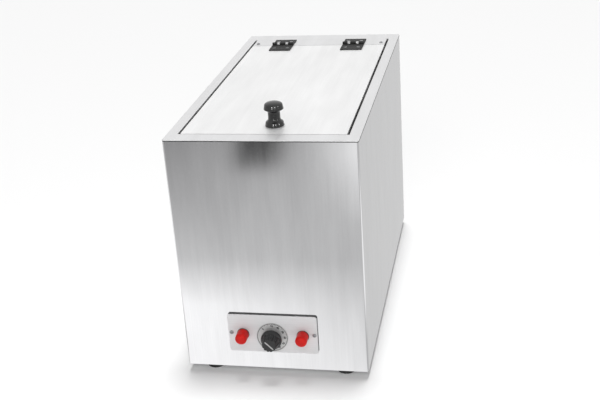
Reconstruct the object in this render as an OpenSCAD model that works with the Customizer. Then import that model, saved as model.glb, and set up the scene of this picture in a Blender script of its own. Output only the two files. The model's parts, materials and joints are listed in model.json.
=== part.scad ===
// Paraffin wax bath: a free-standing sheet-steel cabinet with a hinged lid,
// a heated inner tank and a small control panel low on its front.
// Millimetres. X is to the right, Y to the rear, Z up.
// The origin lies on the floor, under the middle of the cabinet.

/* [Casing] */
// Width of the casing across the front
body_w = 300; // [260:1:360]
// Depth of the casing from front to rear
body_d = 600; // [520:1:720]
// Height of the casing without its feet
body_h = 395; // [360:1:460]
// Thickness of the casing sheet
sheet = 1.2; // [0.8:0.1:1.6]
// Outside bend radius of the upright edges
corner_r = 3; // [2.5:0.5:6]
// Width of the flanges turned in at the bottom and the rear
flange_w = 12; // [10:0.5:13]
// Margin of the rear panel inside the casing's outline
rear_margin = 1; // [0.5:0.1:2]

/* [Feet] */
// Height of the casing above the floor
foot_h = 13; // [8:0.5:20]
// Diameter of a foot where it meets the casing
foot_d = 32; // [26:1:34]
// Loss of diameter down to the floor
foot_taper = 2; // [1:0.5:4]
// Diameter of the spigot between the casing's flanges, up to the base plate
foot_spigot_d = 22; // [20:1:24]
// Distance of a foot's centre from the casing's side
foot_side_inset = 40; // [32:1:60]
// Distance of a foot's centre from the front or the rear
foot_end_inset = 26; // [26:1:60]
// Depth of the pocket that hides the screw head
foot_pocket = 5; // [4:0.5:6]

/* [Top frame] */
// Width of the frame beside the lid opening
rim_side = 17; // [12:0.5:24]
// Width of the frame in front of the lid opening
rim_front = 26.5; // [16:0.5:32]
// Width of the frame behind the lid opening
rim_rear = 33; // [20:0.5:40]
// Depth of the lip turned down around the opening
lip_h = 13.2; // [12:0.1:18]
// Depth of the skirt inside the casing
skirt_h = 10; // [6:0.5:16]

/* [Lid] */
// Gap between the lid and the frame at either side
side_gap = 4; // [3:0.1:6]
// Gap between the lid and the frame at the front
front_gap = 1.6; // [0.6:0.1:2]
// Gap between the lid and the fixed strip behind it
split_gap = 1.5; // [1:0.1:3]
// Height of the liner's upturned edge
liner_edge = 6; // [3:0.5:7]
// Corner radius of the lid in plan
lid_r = 2; // [1.8:0.1:4]

/* [Lid knob] */
// Diameter of the knob's head
knob_head_d = 31; // [26:0.5:38]
// Diameter of the knob's waist
knob_waist_d = 19; // [14:0.5:22]
// Diameter of the knob's foot
knob_foot_d = 30; // [24:0.5:36]
// Height of the knob
knob_h = 38; // [34:0.5:54]
// Thickness of the head at its rim
knob_rim_h = 7; // [4:0.5:9]
// Rise of the domed top above the head's rim
knob_dome_h = 4.5; // [2:0.5:6]
// Thickness of the foot at its edge
knob_foot_h = 6.5; // [3:0.5:8]
// Sharpness of the turns from the waist into the head and the foot
knob_flare = 5; // [2:0.1:8]
// Offset of the knob to the right of the lid's centre
knob_x = 11; // [-20:1:20]
// Distance of the knob's centre from the lid's front edge
knob_inset = 40; // [30:1:70]

/* [Hinges] */
// Distance of the hinge axis from the rear of the casing
hinge_inset = 75; // [70:1:90]
// Distance of each hinge from the lid's centre
hinge_x = 69; // [50:1:80]
// Length of a hinge along its pin
hinge_len = 41; // [40:1:64]
// Depth of a leaf from the hinge axis
leaf_d = 36.5; // [26:0.5:38]
// Thickness of a leaf
leaf_t = 2; // [1.8:0.1:2.6]
// Diameter of the barrel
barrel_d = 6.4; // [5.6:0.1:8]
// Diameter of the hinge pin
hinge_pin_d = 3; // [2.4:0.1:3.4]
// Number of knuckles in a barrel
knuckles = 5; // [3:2:7]
// Spacing of the two screws in a leaf
leaf_screw_pitch = 25; // [20:1:34]
// Distance of the screws from the hinge axis
leaf_screw_back = 22; // [14:0.5:22]
// Distance of the strip's screws behind the hinge axis
strip_screw_back = 13; // [10:0.5:24]
// Distance of the strip's screws from its ends
strip_screw_inset = 8; // [6:0.5:14]

/* [Wax tank] */
// Ledge between the lid opening and the tank at the sides
ledge_side = 15; // [12:0.5:24]
// Ledge between the lid opening and the tank at the front
ledge_front = 15.5; // [12:0.5:24]
// Ledge between the hinge axis and the tank at the rear
ledge_rear = 15; // [13:0.5:24]
// Depth of the tank below its rim
tank_depth = 225; // [180:1:240]
// Radius of the tank's upright corners
tank_r = 25; // [12:1:40]
// Radius of the tank's lower edge
tank_cove = 10; // [4:0.5:11]
// Thickness of the tank's sheet
tank_t = 1.2; // [0.8:0.1:2]
// Lap of the tank's rim under the frame's lip
rim_lap = 4; // [2:0.5:6]
// Thickness of the seal under the lid
seal_t = 2; // [1.5:0.1:3]
// Distance of the seal from the tank's mouth
seal_inset = 3; // [1:0.5:6]
// Width of the seal's upright bars beside the lid
seal_bar_w = 2.6; // [1.5:0.1:2.7]
// Depth of those bars below the top
seal_drop = 3; // [1:0.5:5]

/* [Insulation] */
// Thickness of the wool jacket around the tank
wool_t = 28; // [16:0.5:30]
// Distance of the jacket's top below the tank's rim
wool_top_gap = 4; // [1:0.5:20]
// Margin around the lid's insulation
lid_wool_margin = 1; // [0.5:0.5:6]
// Diameter of the pocket around the knob's screw
wool_pocket_d = 20; // [17:0.5:30]
// Thickness of the pad under the heater
pad_t = 9; // [5:0.5:10]

/* [Heater] */
// Diameter of the tubular element
heater_d = 8; // [6:0.1:10]
// Distance between neighbouring runs of the element
heater_pitch = 50; // [36:1:54]
// Length of the ends that stand out of the pan
heater_tail = 14; // [8:1:24]
// Diameter of the terminal pins
heater_pin_d = 4; // [3:0.1:5]
// Length of the terminal pins
heater_pin_len = 10; // [6:1:16]
// Distance between the two clamp bars
clamp_pitch = 210; // [150:1:240]
// Width of a clamp bar
clamp_w = 20; // [14:0.5:28]
// Thickness of a clamp bar
clamp_t = 1.5; // [1:0.1:2]
// Overhang of a clamp bar past the outer runs
clamp_overhang = 6; // [4:0.5:7]
// Diameter of the studs under the tank
stud_d = 5; // [4:0.1:6]
// Height of the heater pan
pan_h = 26; // [24:0.5:34]
// Thickness of the pan's sheet
pan_t = 0.8; // [0.6:0.1:1.2]
// Clearance between the element and the pan's walls
pan_clear = 8; // [6:0.5:12]
// Width of the pan's flange under the tank
pan_flange = 8; // [5:0.5:10]
// Distance of the pan's ends from the tank's inner walls
pan_inset = 24; // [14:1:40]

/* [Control panel] */
// Width of the fascia
fascia_w = 146; // [136:1:180]
// Height of the fascia
fascia_h = 67.5; // [60:0.5:80]
// Offset of the fascia to the right of the casing's centre
fascia_x = -2; // [-20:0.5:20]
// Height of the fascia above the casing's bottom
fascia_up = 32; // [24:1:60]
// Corner radius of the fascia
fascia_r = 4; // [2:0.5:8]
// Thickness of the bright face plate
fascia_t = 0.8; // [0.5:0.1:1.5]
// Thickness of the dark board behind it
backing_t = 3; // [1:0.1:8]
// Distance of the fascia's screws from its ends
fascia_screw_inset = 5; // [4.5:0.5:8]
// Height of those screws above the fascia's lower edge
fascia_screw_up = 34; // [20:0.5:40]

/* [Thermostat] */
// Offset of the dial from the middle of the fascia
dial_x = -1; // [-8:0.5:8]
// Height of the dial's centre above the fascia's lower edge
dial_up = 28; // [27:0.5:33]
// Diameter of the dial
dial_d = 52; // [46:0.5:54]
// Thickness of the dial
dial_t = 0.6; // [0.4:0.1:1]
// Width of the dial's raised rim
dial_rim_w = 1; // [0.6:0.1:2]
// Height of the raised rim above the dial
dial_rim_h = 0.3; // [0.2:0.1:0.4]
// Side of the thermostat's square body
thermo_w = 44; // [36:1:50]
// Depth of the thermostat's body
thermo_d = 34; // [26:1:40]
// Length of the tabs behind the thermostat's body
tab_len = 9; // [6:0.5:12]
// Diameter of the threaded bush
bush_d = 10; // [9:0.1:11]
// Length of the bush past the nut
bush_past = 1.1; // [0.5:0.1:2]
// Diameter of the turning shaft
shaft_d = 6; // [5:0.1:6.4]
// Depth of the shaft inside the body
shaft_in = 10; // [6:0.5:16]
// Width across the flats of the bush's nut
bush_nut_af = 14; // [13:0.5:16]
// Thickness of the bush's nut
bush_nut_h = 2.5; // [2:0.1:3]
// Diameter of the control knob's skirt
dial_knob_d = 34; // [30:0.5:40]
// Thickness of the skirt
dial_skirt_h = 4; // [3:0.5:6]
// Diameter of the grip where it leaves the skirt
grip_foot_d = 29; // [26:0.5:30]
// Diameter of the knob's flat face
grip_face_d = 22; // [18:0.5:25]
// Height of the control knob
dial_knob_h = 20; // [16:0.5:28]
// Gap between the knob and the dial
dial_gap = 6.6; // [0.5:0.1:8]
// Diameter of the hollow under the knob
knob_hollow_d = 21; // [20:0.5:24]
// Depth of the hollow under the knob
knob_hollow_h = 4.5; // [4.2:0.1:5.5]
// Number of finger flutes around the grip
flutes = 12; // [8:1:16]
// Diameter of a finger flute
flute_d = 5; // [3:0.5:6]
// Length of the pointer line
pointer_len = 18; // [12:0.5:18]
// Width of the pointer line
pointer_w = 2; // [1.2:0.1:3]
// Depth of the pointer line in the knob's face
pointer_t = 0.8; // [0.5:0.1:0.9]
// Turn of the pointer line from upright, to the left
pointer_turn = 45; // [0:1:90]
// Diameter of the sensing bulb
bulb_d = 6; // [5:0.1:7]
// Length of the sensing bulb
bulb_len = 90; // [60:1:120]
// Diameter of the capillary tube
capillary_d = 2; // [1.6:0.1:2.4]
// Bend radius of the capillary tube
capillary_r = 10; // [6:0.5:14]
// Distance of the capillary's entry below the thermostat's top
capillary_drop = 5; // [4:0.5:6]
// Thickness of the clip around the bulb
clip_t = 1; // [0.8:0.1:1.4]
// Width of the clip around the bulb
clip_w = 14; // [8:0.5:24]
// Length of each of the clip's ears
clip_ear = 10; // [6:0.5:12]

/* [Indicator lamps] */
// Distance of each lamp from the middle of the fascia
lamp_x = 49; // [44:0.5:52]
// Height of the lamps above the fascia's lower edge
lamp_up = 32; // [26:0.5:40]
// Diameter of the red lens
lens_d = 19; // [15:0.5:20]
// Length of the lens out of its bezel
lens_h = 19.5; // [10:0.5:20]
// Length of the rounded end of the lens
lens_round = 3.5; // [3:0.5:8]
// Fullness of that end; 1 makes it a plain ellipse and less makes it squarer
lens_full = 0.6; // [0.3:0.1:1]
// Diameter of the bezel
bezel_d = 20.5; // [20.5:0.5:24]
// Thickness of the bezel
bezel_t = 1; // [1:0.1:2.5]
// Diameter of the lamp's body
lamp_d = 12; // [10:0.1:13]
// Length of the lamp's body behind the front sheet
lamp_len = 32; // [24:1:40]
// Width across the flats of the lamp's nut
lamp_nut_af = 18; // [17:0.5:20]
// Thickness of the lamp's nut
lamp_nut_h = 4; // [3:0.1:6]

/* [Mains connection] */
// Distance of the gland from the right side
gland_inset = 60; // [40:1:100]
// Height of the gland above the casing's bottom
gland_up = 40; // [30:1:80]
// Diameter of the gland's threaded shank
gland_d = 20; // [16:0.1:21]
// Diameter of the passage for the cable
gland_bore_d = 8; // [6:0.1:10]
// Width across the flats of the gland's collar
gland_af = 25; // [23:0.5:30]
// Thickness of the gland's collar
gland_collar_h = 5.5; // [3:0.1:7]
// Length of the gland's domed cap
gland_cap_h = 26; // [14:0.5:30]
// Height of the cone at the nut's end
gland_cone_h = 10.5; // [6:0.5:12]
// Length of the shank inside the panel
gland_in = 10; // [8:0.5:16]
// Thickness of the lock nut
gland_nut_h = 4; // [3:0.1:6]
// Width of one way of the terminal block
term_pitch = 12; // [10:0.5:16]
// Depth of the terminal block
term_d = 22; // [18:0.5:28]
// Height of the terminal block
term_h = 17; // [12:0.5:22]
// Distance of the terminal block's centre from the rear
term_inset = 70; // [50:1:120]
// Distance of the earth stud from the left side
earth_inset = 70; // [60:1:120]

/* [Wiring] */
// Diameter of a wire
wire_d = 2.4; // [1.6:0.1:3]
// Bend radius of a wire
wire_r = 8; // [5:0.5:10]
// Length of a wire's straight end behind the control panel
wire_lead = 20; // [14:1:30]

/* [Fasteners] */
// Diameter of the small screws' shanks
screw_d = 3; // [2.4:0.1:3.4]
// Diameter of the small screws' heads
screw_head_d = 6.4; // [5.6:0.1:7.2]
// Height of the small screws' heads
screw_head_h = 2; // [1.4:0.1:2.4]
// Width across the flats of the small nuts
nut_af = 5.5; // [5:0.1:7]
// Thickness of the small nuts
nut_h = 2.4; // [1.8:0.1:3]
// Diameter of the large screws' shanks
bolt_d = 4; // [3.5:0.1:4.4]
// Diameter of the large screws' heads
bolt_head_d = 8; // [7:0.1:9]
// Height of the large screws' heads
bolt_head_h = 2.8; // [2:0.1:3]
// Width across the flats of the large nuts
bolt_nut_af = 7; // [6.5:0.1:9]
// Thickness of the large nuts
bolt_nut_h = 3.2; // [2.4:0.1:4]

/* [Clearances] */
// Gap between pieces that lie together
fit_gap = 0.2; // [0.1:0.05:0.3]
// Gap between pieces that move past each other
run_gap = 0.4; // [0.3:0.05:0.6]
// Play of a pin or shaft in its bore, on the diameter
pin_play = 0.1; // [0.06:0.01:0.16]
// Play of a screw in its hole, on the diameter
hole_play = 0.4; // [0.2:0.05:0.8]

/* [Hidden] */
$fn = 64;
// Overshoot of a cutting shape past the face it cuts
cut = 1;
// Sides of a wire, and steps of each of its bends
rod_sides = 8;
route_steps = 5;

// Levels of the cabinet
front_y = -body_d / 2;
rear_y = body_d / 2;
top_z = foot_h + body_h;
base_z = foot_h + sheet;
floor_z = base_z + sheet;
rim_z = top_z - lip_h;
wall_h = body_h - sheet;

// Lid opening, hinge axis, lid and fixed strip
open_w = body_w - 2 * rim_side;
open_front = front_y + rim_front;
open_rear = rear_y - rim_rear;
axis_y = rear_y - hinge_inset;
axis_z = top_z + barrel_d / 2 + run_gap;
lid_w = open_w - 2 * side_gap;
lid_front = open_front + front_gap;
lid_rear = axis_y - split_gap / 2;
lid_bottom = rim_z + seal_t + run_gap;
lid_under = top_z - sheet;
strip_front = axis_y + split_gap / 2;
strip_rear = open_rear - fit_gap;
strip_screw_x = lid_w / 2 - strip_screw_inset;
knob_y = lid_front + knob_inset;

// Inner tank and its jacket
tank_w = open_w - 2 * ledge_side;
tank_front = open_front + ledge_front;
tank_rear = axis_y - ledge_rear;
tank_mid = (tank_front + tank_rear) / 2;
tank_len = tank_rear - tank_front;
tank_floor = rim_z - tank_depth;
tank_under = tank_floor - tank_t;

// Heater under the tank, with an even number of runs so that both ends come out in front
heater_runs = 4;
heater_z = tank_under - heater_d / 2 - fit_gap;
pan_front = tank_front + pan_inset;
pan_rear = tank_rear - pan_inset;
pan_w = (heater_runs - 1) * heater_pitch + heater_d + 2 * pan_clear;
bend_reach = heater_pitch / 2 + heater_d / 2 + pan_clear;
run_front = pan_front + bend_reach;
run_rear = pan_rear - bend_reach;
clamp_z = heater_z - heater_d / 2 - fit_gap;
stud_len = heater_d + 2 * fit_gap + clamp_t + nut_h + fit_gap;
bulb_x = heater_pitch;
bulb_z = tank_under - bulb_d / 2 - fit_gap;
bulb_front = tank_mid - bulb_len / 2;

// Control panel, as distances out of the casing's front
panel_z = foot_h + fascia_up;
fascia_z = panel_z + fascia_h / 2;
dial_z = panel_z + dial_up;
lamp_z = panel_z + lamp_up;
fascia_screw_z = panel_z + fascia_screw_up;
fascia_screw_x = fascia_w / 2 - fascia_screw_inset;
fascia_out = backing_t + fascia_t;
dial_out = fascia_out + dial_t;
bush_out = dial_out + bush_nut_h + bush_past;
knob_out = dial_out + dial_rim_h + dial_gap;
lens_out = fascia_out + bezel_t;
shaft_tip = knob_out + dial_knob_h - pointer_t - 2;
capillary_z = dial_z + thermo_w / 2 - capillary_drop;
capillary_y = front_y + sheet + thermo_d / 2;
tab_x = thermo_w / 4;

// Terminal block with one way for each wire, and the far ends of the wires
term_ways = 6;
term_y = rear_y - term_inset;
wire_in = term_y - term_d / 4;
wire_z = floor_z + term_h / 3;
heater_tip = pan_front - heater_tail - heater_pin_len;
heater_rise = heater_tip - wire_r - wire_d;
tab_tip = front_y + sheet + thermo_d + tab_len;
lamp_tip = front_y + sheet + lamp_len;

// Rear of the cabinet
gland_x = body_w / 2 - gland_inset;
gland_z = foot_h + gland_up;
rear_screw_x = body_w / 2 - flange_w / 2 - sheet / 2;
rear_screw_zs = [foot_h + flange_w * 2, foot_h + wall_h / 2, foot_h + wall_h - flange_w * 2];
flange_screw_x = body_w / 2 - flange_w / 2;
flange_screw_ys = [-body_d / 3, 0, body_d / 3];
foot_x = body_w / 2 - foot_side_inset;
foot_y = body_d / 2 - foot_end_inset;

// Plane rectangle with round corners, about the origin
module rounded_rect(w, d, r) {
    square([w - 2 * r, d], center = true);
    square([w, d - 2 * r], center = true);
    for (x = [-1, 1], y = [-1, 1])
        translate([x * (w / 2 - r), y * (d / 2 - r)])
            circle(r = r);
}

// Plane rectangle between a front and a rear limit
module span_rect(w, front, rear, r) {
    translate([0, (front + rear) / 2])
        rounded_rect(w, rear - front, r);
}

// Plate between two levels, cut from a plane rectangle with limits
module span_plate(w, front, rear, r, low, high) {
    translate([0, 0, low])
        linear_extrude(high - low)
            span_rect(w, front, rear, r);
}

// Box between a front and a rear limit and between two levels
module span_box(w, front, rear, low, high) {
    translate([-w / 2, front, low])
        cube([w, rear - front, high - low]);
}

// Places children on the front sheet, at a distance to the right of the fascia's middle,
// with local Z pointing out of the sheet and local Y up
module on_front(x, z, out = 0) {
    translate([fascia_x + x, front_y - out, z])
        rotate([90, 0, 0])
            children();
}

// Places children on the rear panel, with local Z pointing out of it
module on_rear(x, z) {
    translate([x, rear_y, z])
        rotate([-90, 0, 0])
            children();
}

// Section through the edge of a block, as deep as its corners are round, with a round lower corner
module coved_section(r, cove, h) {
    square([r - cove, h]);
    translate([0, cove])
        square([r, h - cove]);
    translate([r - cove, cove])
        circle(r = cove);
}

// Block between limits with round upright corners and a round lower edge
module coved_block(w, front, rear, r, cove, low, high) {
    h = high - low;
    side_x = w / 2 - r;
    end_y = (rear - front) / 2 - r;
    translate([0, (front + rear) / 2, low]) {
        span_box(2 * side_x, -end_y, end_y, 0, h);
        for (turn = [0, 180])
            rotate([0, 0, turn]) {
                translate([side_x, end_y, 0])
                    rotate([90, 0, 0])
                        linear_extrude(2 * end_y)
                            coved_section(r, cove, h);
                translate([-side_x, end_y, 0])
                    rotate([90, 0, 90])
                        linear_extrude(2 * side_x)
                            coved_section(r, cove, h);
                translate([side_x, end_y, 0])
                    rotate_extrude(angle = 90)
                        coved_section(r, cove, h);
                translate([-side_x, end_y, 0])
                    rotate([0, 0, 90])
                        rotate_extrude(angle = 90)
                            coved_section(r, cove, h);
            }
    }
}

// Rod along Y from a front limit to a rear limit
module rod_y(x, z, d, front, rear) {
    translate([x, front, z])
        rotate([-90, 0, 0])
            cylinder(d = d, h = rear - front);
}

function unit(v) = v / norm(v);

// Points of the arc that rounds off one corner of a route
function corner_arc(before, corner, after, r) =
    let (
        into = unit(corner - before),
        away = unit(after - corner),
        turn = acos(into * away),
        middle = corner + unit(away - into) * r / cos(turn / 2),
        out = cross(into, unit(cross(into, away)))
    )
    [
        for (i = [0 : route_steps])
            let (a = turn * i / route_steps)
            middle + r * (out * cos(a) + into * sin(a))
    ];

// Route with all its corners rounded off to one radius
function round_route(points, r) = [
    points[0],
    for (i = [1 : len(points) - 2])
        each corner_arc(points[i - 1], points[i], points[i + 1], r),
    points[len(points) - 1]
];

// Direction of a path at one of its points
function path_way(path, i) =
    let (last = len(path) - 1)
    unit(
        (i == 0 ? [0, 0, 0] : unit(path[i] - path[i - 1])) +
        (i == last ? [0, 0, 0] : unit(path[i + 1] - path[i]))
    );

// Directions square to a path, one for each of its points, carried along it without twist
function path_sides(path, side, i = 0) =
    let (
        way = path_way(path, i),
        now = unit(side - way * (way * side))
    )
    i == len(path) - 1 ? [now] : concat([now], path_sides(path, now, i + 1));

// Tube or wire along a route with round corners; side is any direction square to the route's start
module routed_rod(points, d, r, side = [1, 0, 0]) {
    path = round_route(points, r);
    sides = path_sides(path, side);
    n = rod_sides;
    rings = [
        for (i = [0 : len(path) - 1], k = [0 : n - 1])
            let (a = 360 * k / n)
            path[i] + d / 2 * (sides[i] * cos(a) + cross(path_way(path, i), sides[i]) * sin(a))
    ];
    walls = [
        for (i = [0 : len(path) - 2], k = [0 : n - 1])
            let (
                here = i * n + k,
                next = i * n + (k + 1) % n
            )
            each [[here, here + n, next], [next, here + n, next + n]]
    ];
    ends = [[for (k = [0 : n - 1]) k], [for (k = [1 : n]) len(rings) - k]];
    polyhedron(rings, concat(walls, ends));
}

// Domed screw whose head stands on local Z = 0 and whose shank goes down
module dome_screw(shank_d, head_d, head_h, length) {
    edge = head_h / 2;
    cylinder(d = head_d, h = edge);
    translate([0, 0, edge])
        cylinder(d1 = head_d, d2 = head_d * 0.6, h = head_h - edge);
    translate([0, 0, -length])
        cylinder(d = shank_d, h = length);
}

// Six-sided nut standing on local Z = 0
module hex_nut(af, h, bore_d) {
    difference() {
        cylinder(d = af / cos(30), h = h, $fn = 6);
        translate([0, 0, -cut])
            cylinder(d = bore_d, h = h + 2 * cut);
    }
}

// Round hole along local Z, through everything between two levels
module bore(d, low, high) {
    translate([0, 0, low - cut])
        cylinder(d = d, h = high - low + 2 * cut);
}

module at_feet() {
    for (x = [-foot_x, foot_x], y = [-foot_y, foot_y])
        translate([x, y, 0])
            children();
}

module at_flange_screws() {
    for (x = [-flange_screw_x, flange_screw_x], y = flange_screw_ys)
        translate([x, y, 0])
            children();
}

module at_rear_screws() {
    for (x = [-rear_screw_x, rear_screw_x], z = rear_screw_zs)
        on_rear(x, z)
            children();
}

module at_strip_screws() {
    for (x = [-strip_screw_x, strip_screw_x])
        translate([x, axis_y + strip_screw_back, 0])
            children();
}

// Places children at each hinge, on its axis
module at_hinges() {
    for (x = [-hinge_x, hinge_x])
        translate([x, axis_y, axis_z])
            children();
}

// Places children at the screws of one kind of leaf; side is 1 for the strip and -1 for the lid
module at_leaf_screws(side) {
    for (h = [-hinge_x, hinge_x], x = [-leaf_screw_pitch / 2, leaf_screw_pitch / 2])
        translate([h + x, axis_y + side * leaf_screw_back, top_z])
            children();
}

// Places children at both lamps, on the front sheet
module at_lamps(out) {
    for (x = [-lamp_x, lamp_x])
        on_front(x, lamp_z, out)
            children();
}

module at_studs() {
    for (y = [-clamp_pitch / 2, clamp_pitch / 2])
        translate([0, tank_mid + y, 0])
            children();
}

// Holes that the control panel's pieces need, over a depth of sheet out of the front
module panel_holes(inner, outer) {
    on_front(dial_x, dial_z)
        bore(bush_d + hole_play, inner, outer);
    for (x = [-lamp_x, lamp_x])
        on_front(x, lamp_z)
            bore(lamp_d + hole_play, inner, outer);
    for (x = [-fascia_screw_x, fascia_screw_x])
        on_front(x, fascia_screw_z)
            bore(screw_d + hole_play, inner, outer);
}

// Front and both sides in one folded sheet, with flanges turned in below and behind
module casing() {
    outer_rear = rear_y - sheet;
    inner_rear = outer_rear - sheet;
    color("silver")
        difference() {
            union() {
                translate([0, 0, foot_h])
                    linear_extrude(wall_h)
                        difference() {
                            span_rect(body_w, front_y, outer_rear, corner_r);
                            span_rect(body_w - 2 * sheet, front_y + sheet, inner_rear, corner_r - sheet);
                        }
                difference() {
                    span_plate(body_w, front_y, outer_rear, corner_r, foot_h, base_z);
                    span_box(body_w - 2 * flange_w, front_y + flange_w, rear_y, foot_h - cut, base_z + cut);
                }
            }
            span_box(body_w - 2 * flange_w, inner_rear - cut, rear_y, foot_h - cut, top_z);
            panel_holes(-sheet, 0);
            at_rear_screws()
                bore(screw_d + hole_play, -2 * sheet, 0);
            at_flange_screws()
                bore(screw_d + hole_play, foot_h, base_z);
        }
}

// Flat panel that closes the back
module rear_panel() {
    color("lightgray")
        difference() {
            translate([0, 0, foot_h + rear_margin])
                span_box(body_w - 2 * rear_margin, rear_y - sheet, rear_y, 0, wall_h - 2 * rear_margin);
            at_rear_screws()
                bore(screw_d + hole_play, -sheet, 0);
            on_rear(gland_x, gland_z)
                bore(gland_d + hole_play, -sheet, 0);
        }
}

module rear_screws() {
    color("gainsboro")
        at_rear_screws()
            dome_screw(screw_d, screw_head_d, screw_head_h, 4 * sheet + nut_h);
}

// Floor of the cabinet, laid on the casing's flanges
module base_plate() {
    color("lightgray")
        difference() {
            span_plate(
                body_w - 2 * sheet - 2 * fit_gap,
                front_y + sheet + fit_gap,
                rear_y - 2 * sheet - fit_gap,
                corner_r - sheet,
                base_z,
                floor_z
            );
            at_feet()
                bore(bolt_d + hole_play, base_z, floor_z);
            at_flange_screws()
                bore(screw_d + hole_play, base_z, floor_z);
            translate([earth_inset - body_w / 2, term_y, 0])
                bore(bolt_d + hole_play, base_z, floor_z);
        }
}

module base_screws() {
    color("gainsboro")
        at_flange_screws()
            translate([0, 0, foot_h])
                mirror([0, 0, 1])
                    dome_screw(screw_d, screw_head_d, screw_head_h, 2 * sheet + nut_h);
}

// Rubber feet with a pocket for the screw head
module feet() {
    color([0.08, 0.08, 0.08])
        at_feet()
            difference() {
                union() {
                    cylinder(d1 = foot_d - foot_taper, d2 = foot_d, h = foot_h);
                    cylinder(d = foot_spigot_d, h = base_z);
                }
                bore(bolt_d + hole_play, 0, base_z);
                translate([0, 0, -cut])
                    cylinder(d = bolt_head_d + 4 * hole_play, h = foot_pocket + cut);
            }
}

// Screws that hold the feet, with their nuts on the base plate
module foot_screws() {
    length = floor_z - foot_pocket + bolt_nut_h + sheet;
    color("gainsboro")
        at_feet() {
            translate([0, 0, foot_pocket])
                mirror([0, 0, 1])
                    dome_screw(bolt_d, bolt_head_d, bolt_head_h, length);
            translate([0, 0, floor_z])
                hex_nut(bolt_nut_af, bolt_nut_h, bolt_d + pin_play);
        }
}

// Top of the cabinet, folded down around the lid opening and inside the casing
module top_frame() {
    lap = sheet + fit_gap;
    lap_rear = rear_y - 2 * sheet - fit_gap;
    skirt_w = body_w - 2 * lap;
    skirt_front = front_y + lap;
    skirt_z = lid_under - skirt_h;
    color("whitesmoke")
        difference() {
            union() {
                span_plate(body_w, front_y, rear_y, corner_r, lid_under, top_z);
                span_box(open_w + 2 * sheet, open_front - sheet, open_rear + sheet, rim_z, top_z);
                difference() {
                    span_plate(skirt_w, skirt_front, lap_rear, corner_r - sheet, skirt_z, top_z);
                    span_plate(
                        skirt_w - 2 * sheet,
                        skirt_front + sheet,
                        lap_rear - sheet,
                        corner_r - sheet,
                        skirt_z - cut,
                        lid_under
                    );
                }
            }
            span_box(open_w, open_front, open_rear, rim_z - cut, top_z + cut);
        }
}

// Fixed strip behind the lid, folded down to stand on the tank's rim
module hinge_strip() {
    color("whitesmoke")
        difference() {
            span_box(lid_w, strip_front, strip_rear, rim_z, top_z);
            span_box(lid_w + 2 * cut, strip_front + sheet, strip_rear - sheet, rim_z - cut, lid_under);
            at_leaf_screws(1)
                bore(screw_d + hole_play, -sheet, 0);
            at_strip_screws()
                bore(screw_d + hole_play, lid_under, top_z);
        }
}

module strip_posts() {
    color("gainsboro")
        at_strip_screws()
            difference() {
                translate([0, 0, rim_z])
                    cylinder(d = screw_head_d + 2 * sheet, h = lid_under - rim_z);
                bore(screw_d + pin_play, rim_z, lid_under);
            }
}

module strip_screws() {
    color("gainsboro")
        at_strip_screws()
            translate([0, 0, top_z])
                dome_screw(screw_d, screw_head_d, screw_head_h, lip_h - seal_t);
}

// Outer skin of the lid, a shallow tray upside down
module lid_panel() {
    color("whitesmoke")
        difference() {
            span_plate(lid_w, lid_front, lid_rear, lid_r, lid_bottom, top_z);
            span_plate(
                lid_w - 2 * sheet,
                lid_front + sheet,
                lid_rear - sheet,
                lid_r - sheet,
                lid_bottom - cut,
                lid_under
            );
            at_leaf_screws(-1)
                bore(screw_d + hole_play, -sheet, 0);
            translate([knob_x, knob_y, 0])
                bore(bolt_d + hole_play, lid_under, top_z);
        }
}

// Pan that closes the lid from below
module lid_liner() {
    out = sheet + fit_gap;
    color("gainsboro")
        difference() {
            span_plate(
                lid_w - 2 * out,
                lid_front + out,
                lid_rear - out,
                lid_r - sheet,
                lid_bottom,
                lid_bottom + liner_edge
            );
            span_box(
                lid_w - 2 * out - 2 * sheet,
                lid_front + out + sheet,
                lid_rear - out - sheet,
                lid_bottom + sheet,
                lid_bottom + liner_edge + cut
            );
        }
}

// Slab of insulation inside the lid, short of the hinge screws
module lid_insulation() {
    out = 2 * sheet + fit_gap + lid_wool_margin;
    color("khaki")
        difference() {
            span_box(
                lid_w - 2 * out,
                lid_front + out,
                axis_y - leaf_d - lid_wool_margin,
                lid_bottom + sheet,
                lid_under
            );
            translate([knob_x, knob_y, 0])
                bore(wool_pocket_d, lid_bottom, top_z);
        }
}

// Black seal: a flat ring on the tank's rim and two upright bars beside the lid
module lid_seal() {
    outer_w = open_w - 2 * fit_gap;
    outer_front = open_front + fit_gap;
    color([0.05, 0.05, 0.05]) {
        difference() {
            union() {
                span_box(outer_w, outer_front, lid_rear, rim_z, rim_z + seal_t);
                span_box(outer_w, outer_front, open_rear - fit_gap, rim_z, top_z - seal_drop);
            }
            span_box(
                outer_w - 2 * seal_bar_w, open_front - cut, open_rear + cut, rim_z + seal_t, top_z
            );
            span_box(outer_w - 2 * seal_bar_w, lid_rear, open_rear + cut, rim_z - cut, top_z);
            span_box(
                tank_w + 2 * seal_inset, tank_front - seal_inset, tank_rear + seal_inset, rim_z - cut, top_z
            );
        }
    }
}

// Outline of the lid knob: a foot, a hollowed waist and a domed head
function waist_curve(steps) =
    let (
        low = knob_foot_h,
        high = knob_h - knob_dome_h - knob_rim_h,
        waist_r = knob_waist_d / 2,
        foot_r = knob_foot_d / 2,
        head_r = knob_head_d / 2
    )
    [
        for (i = [0 : steps])
            let (
                t = i / steps,
                end_r = t < 0.5 ? foot_r : head_r,
                flare = pow(abs(2 * t - 1), knob_flare)
            )
            [waist_r + (end_r - waist_r) * flare, low + (high - low) * t]
    ];

function dome_curve(steps) = [
    for (i = [0 : steps])
        let (a = 90 * i / steps)
        [knob_head_d / 2 * cos(a), knob_h - knob_dome_h + knob_dome_h * sin(a)]
];

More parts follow.
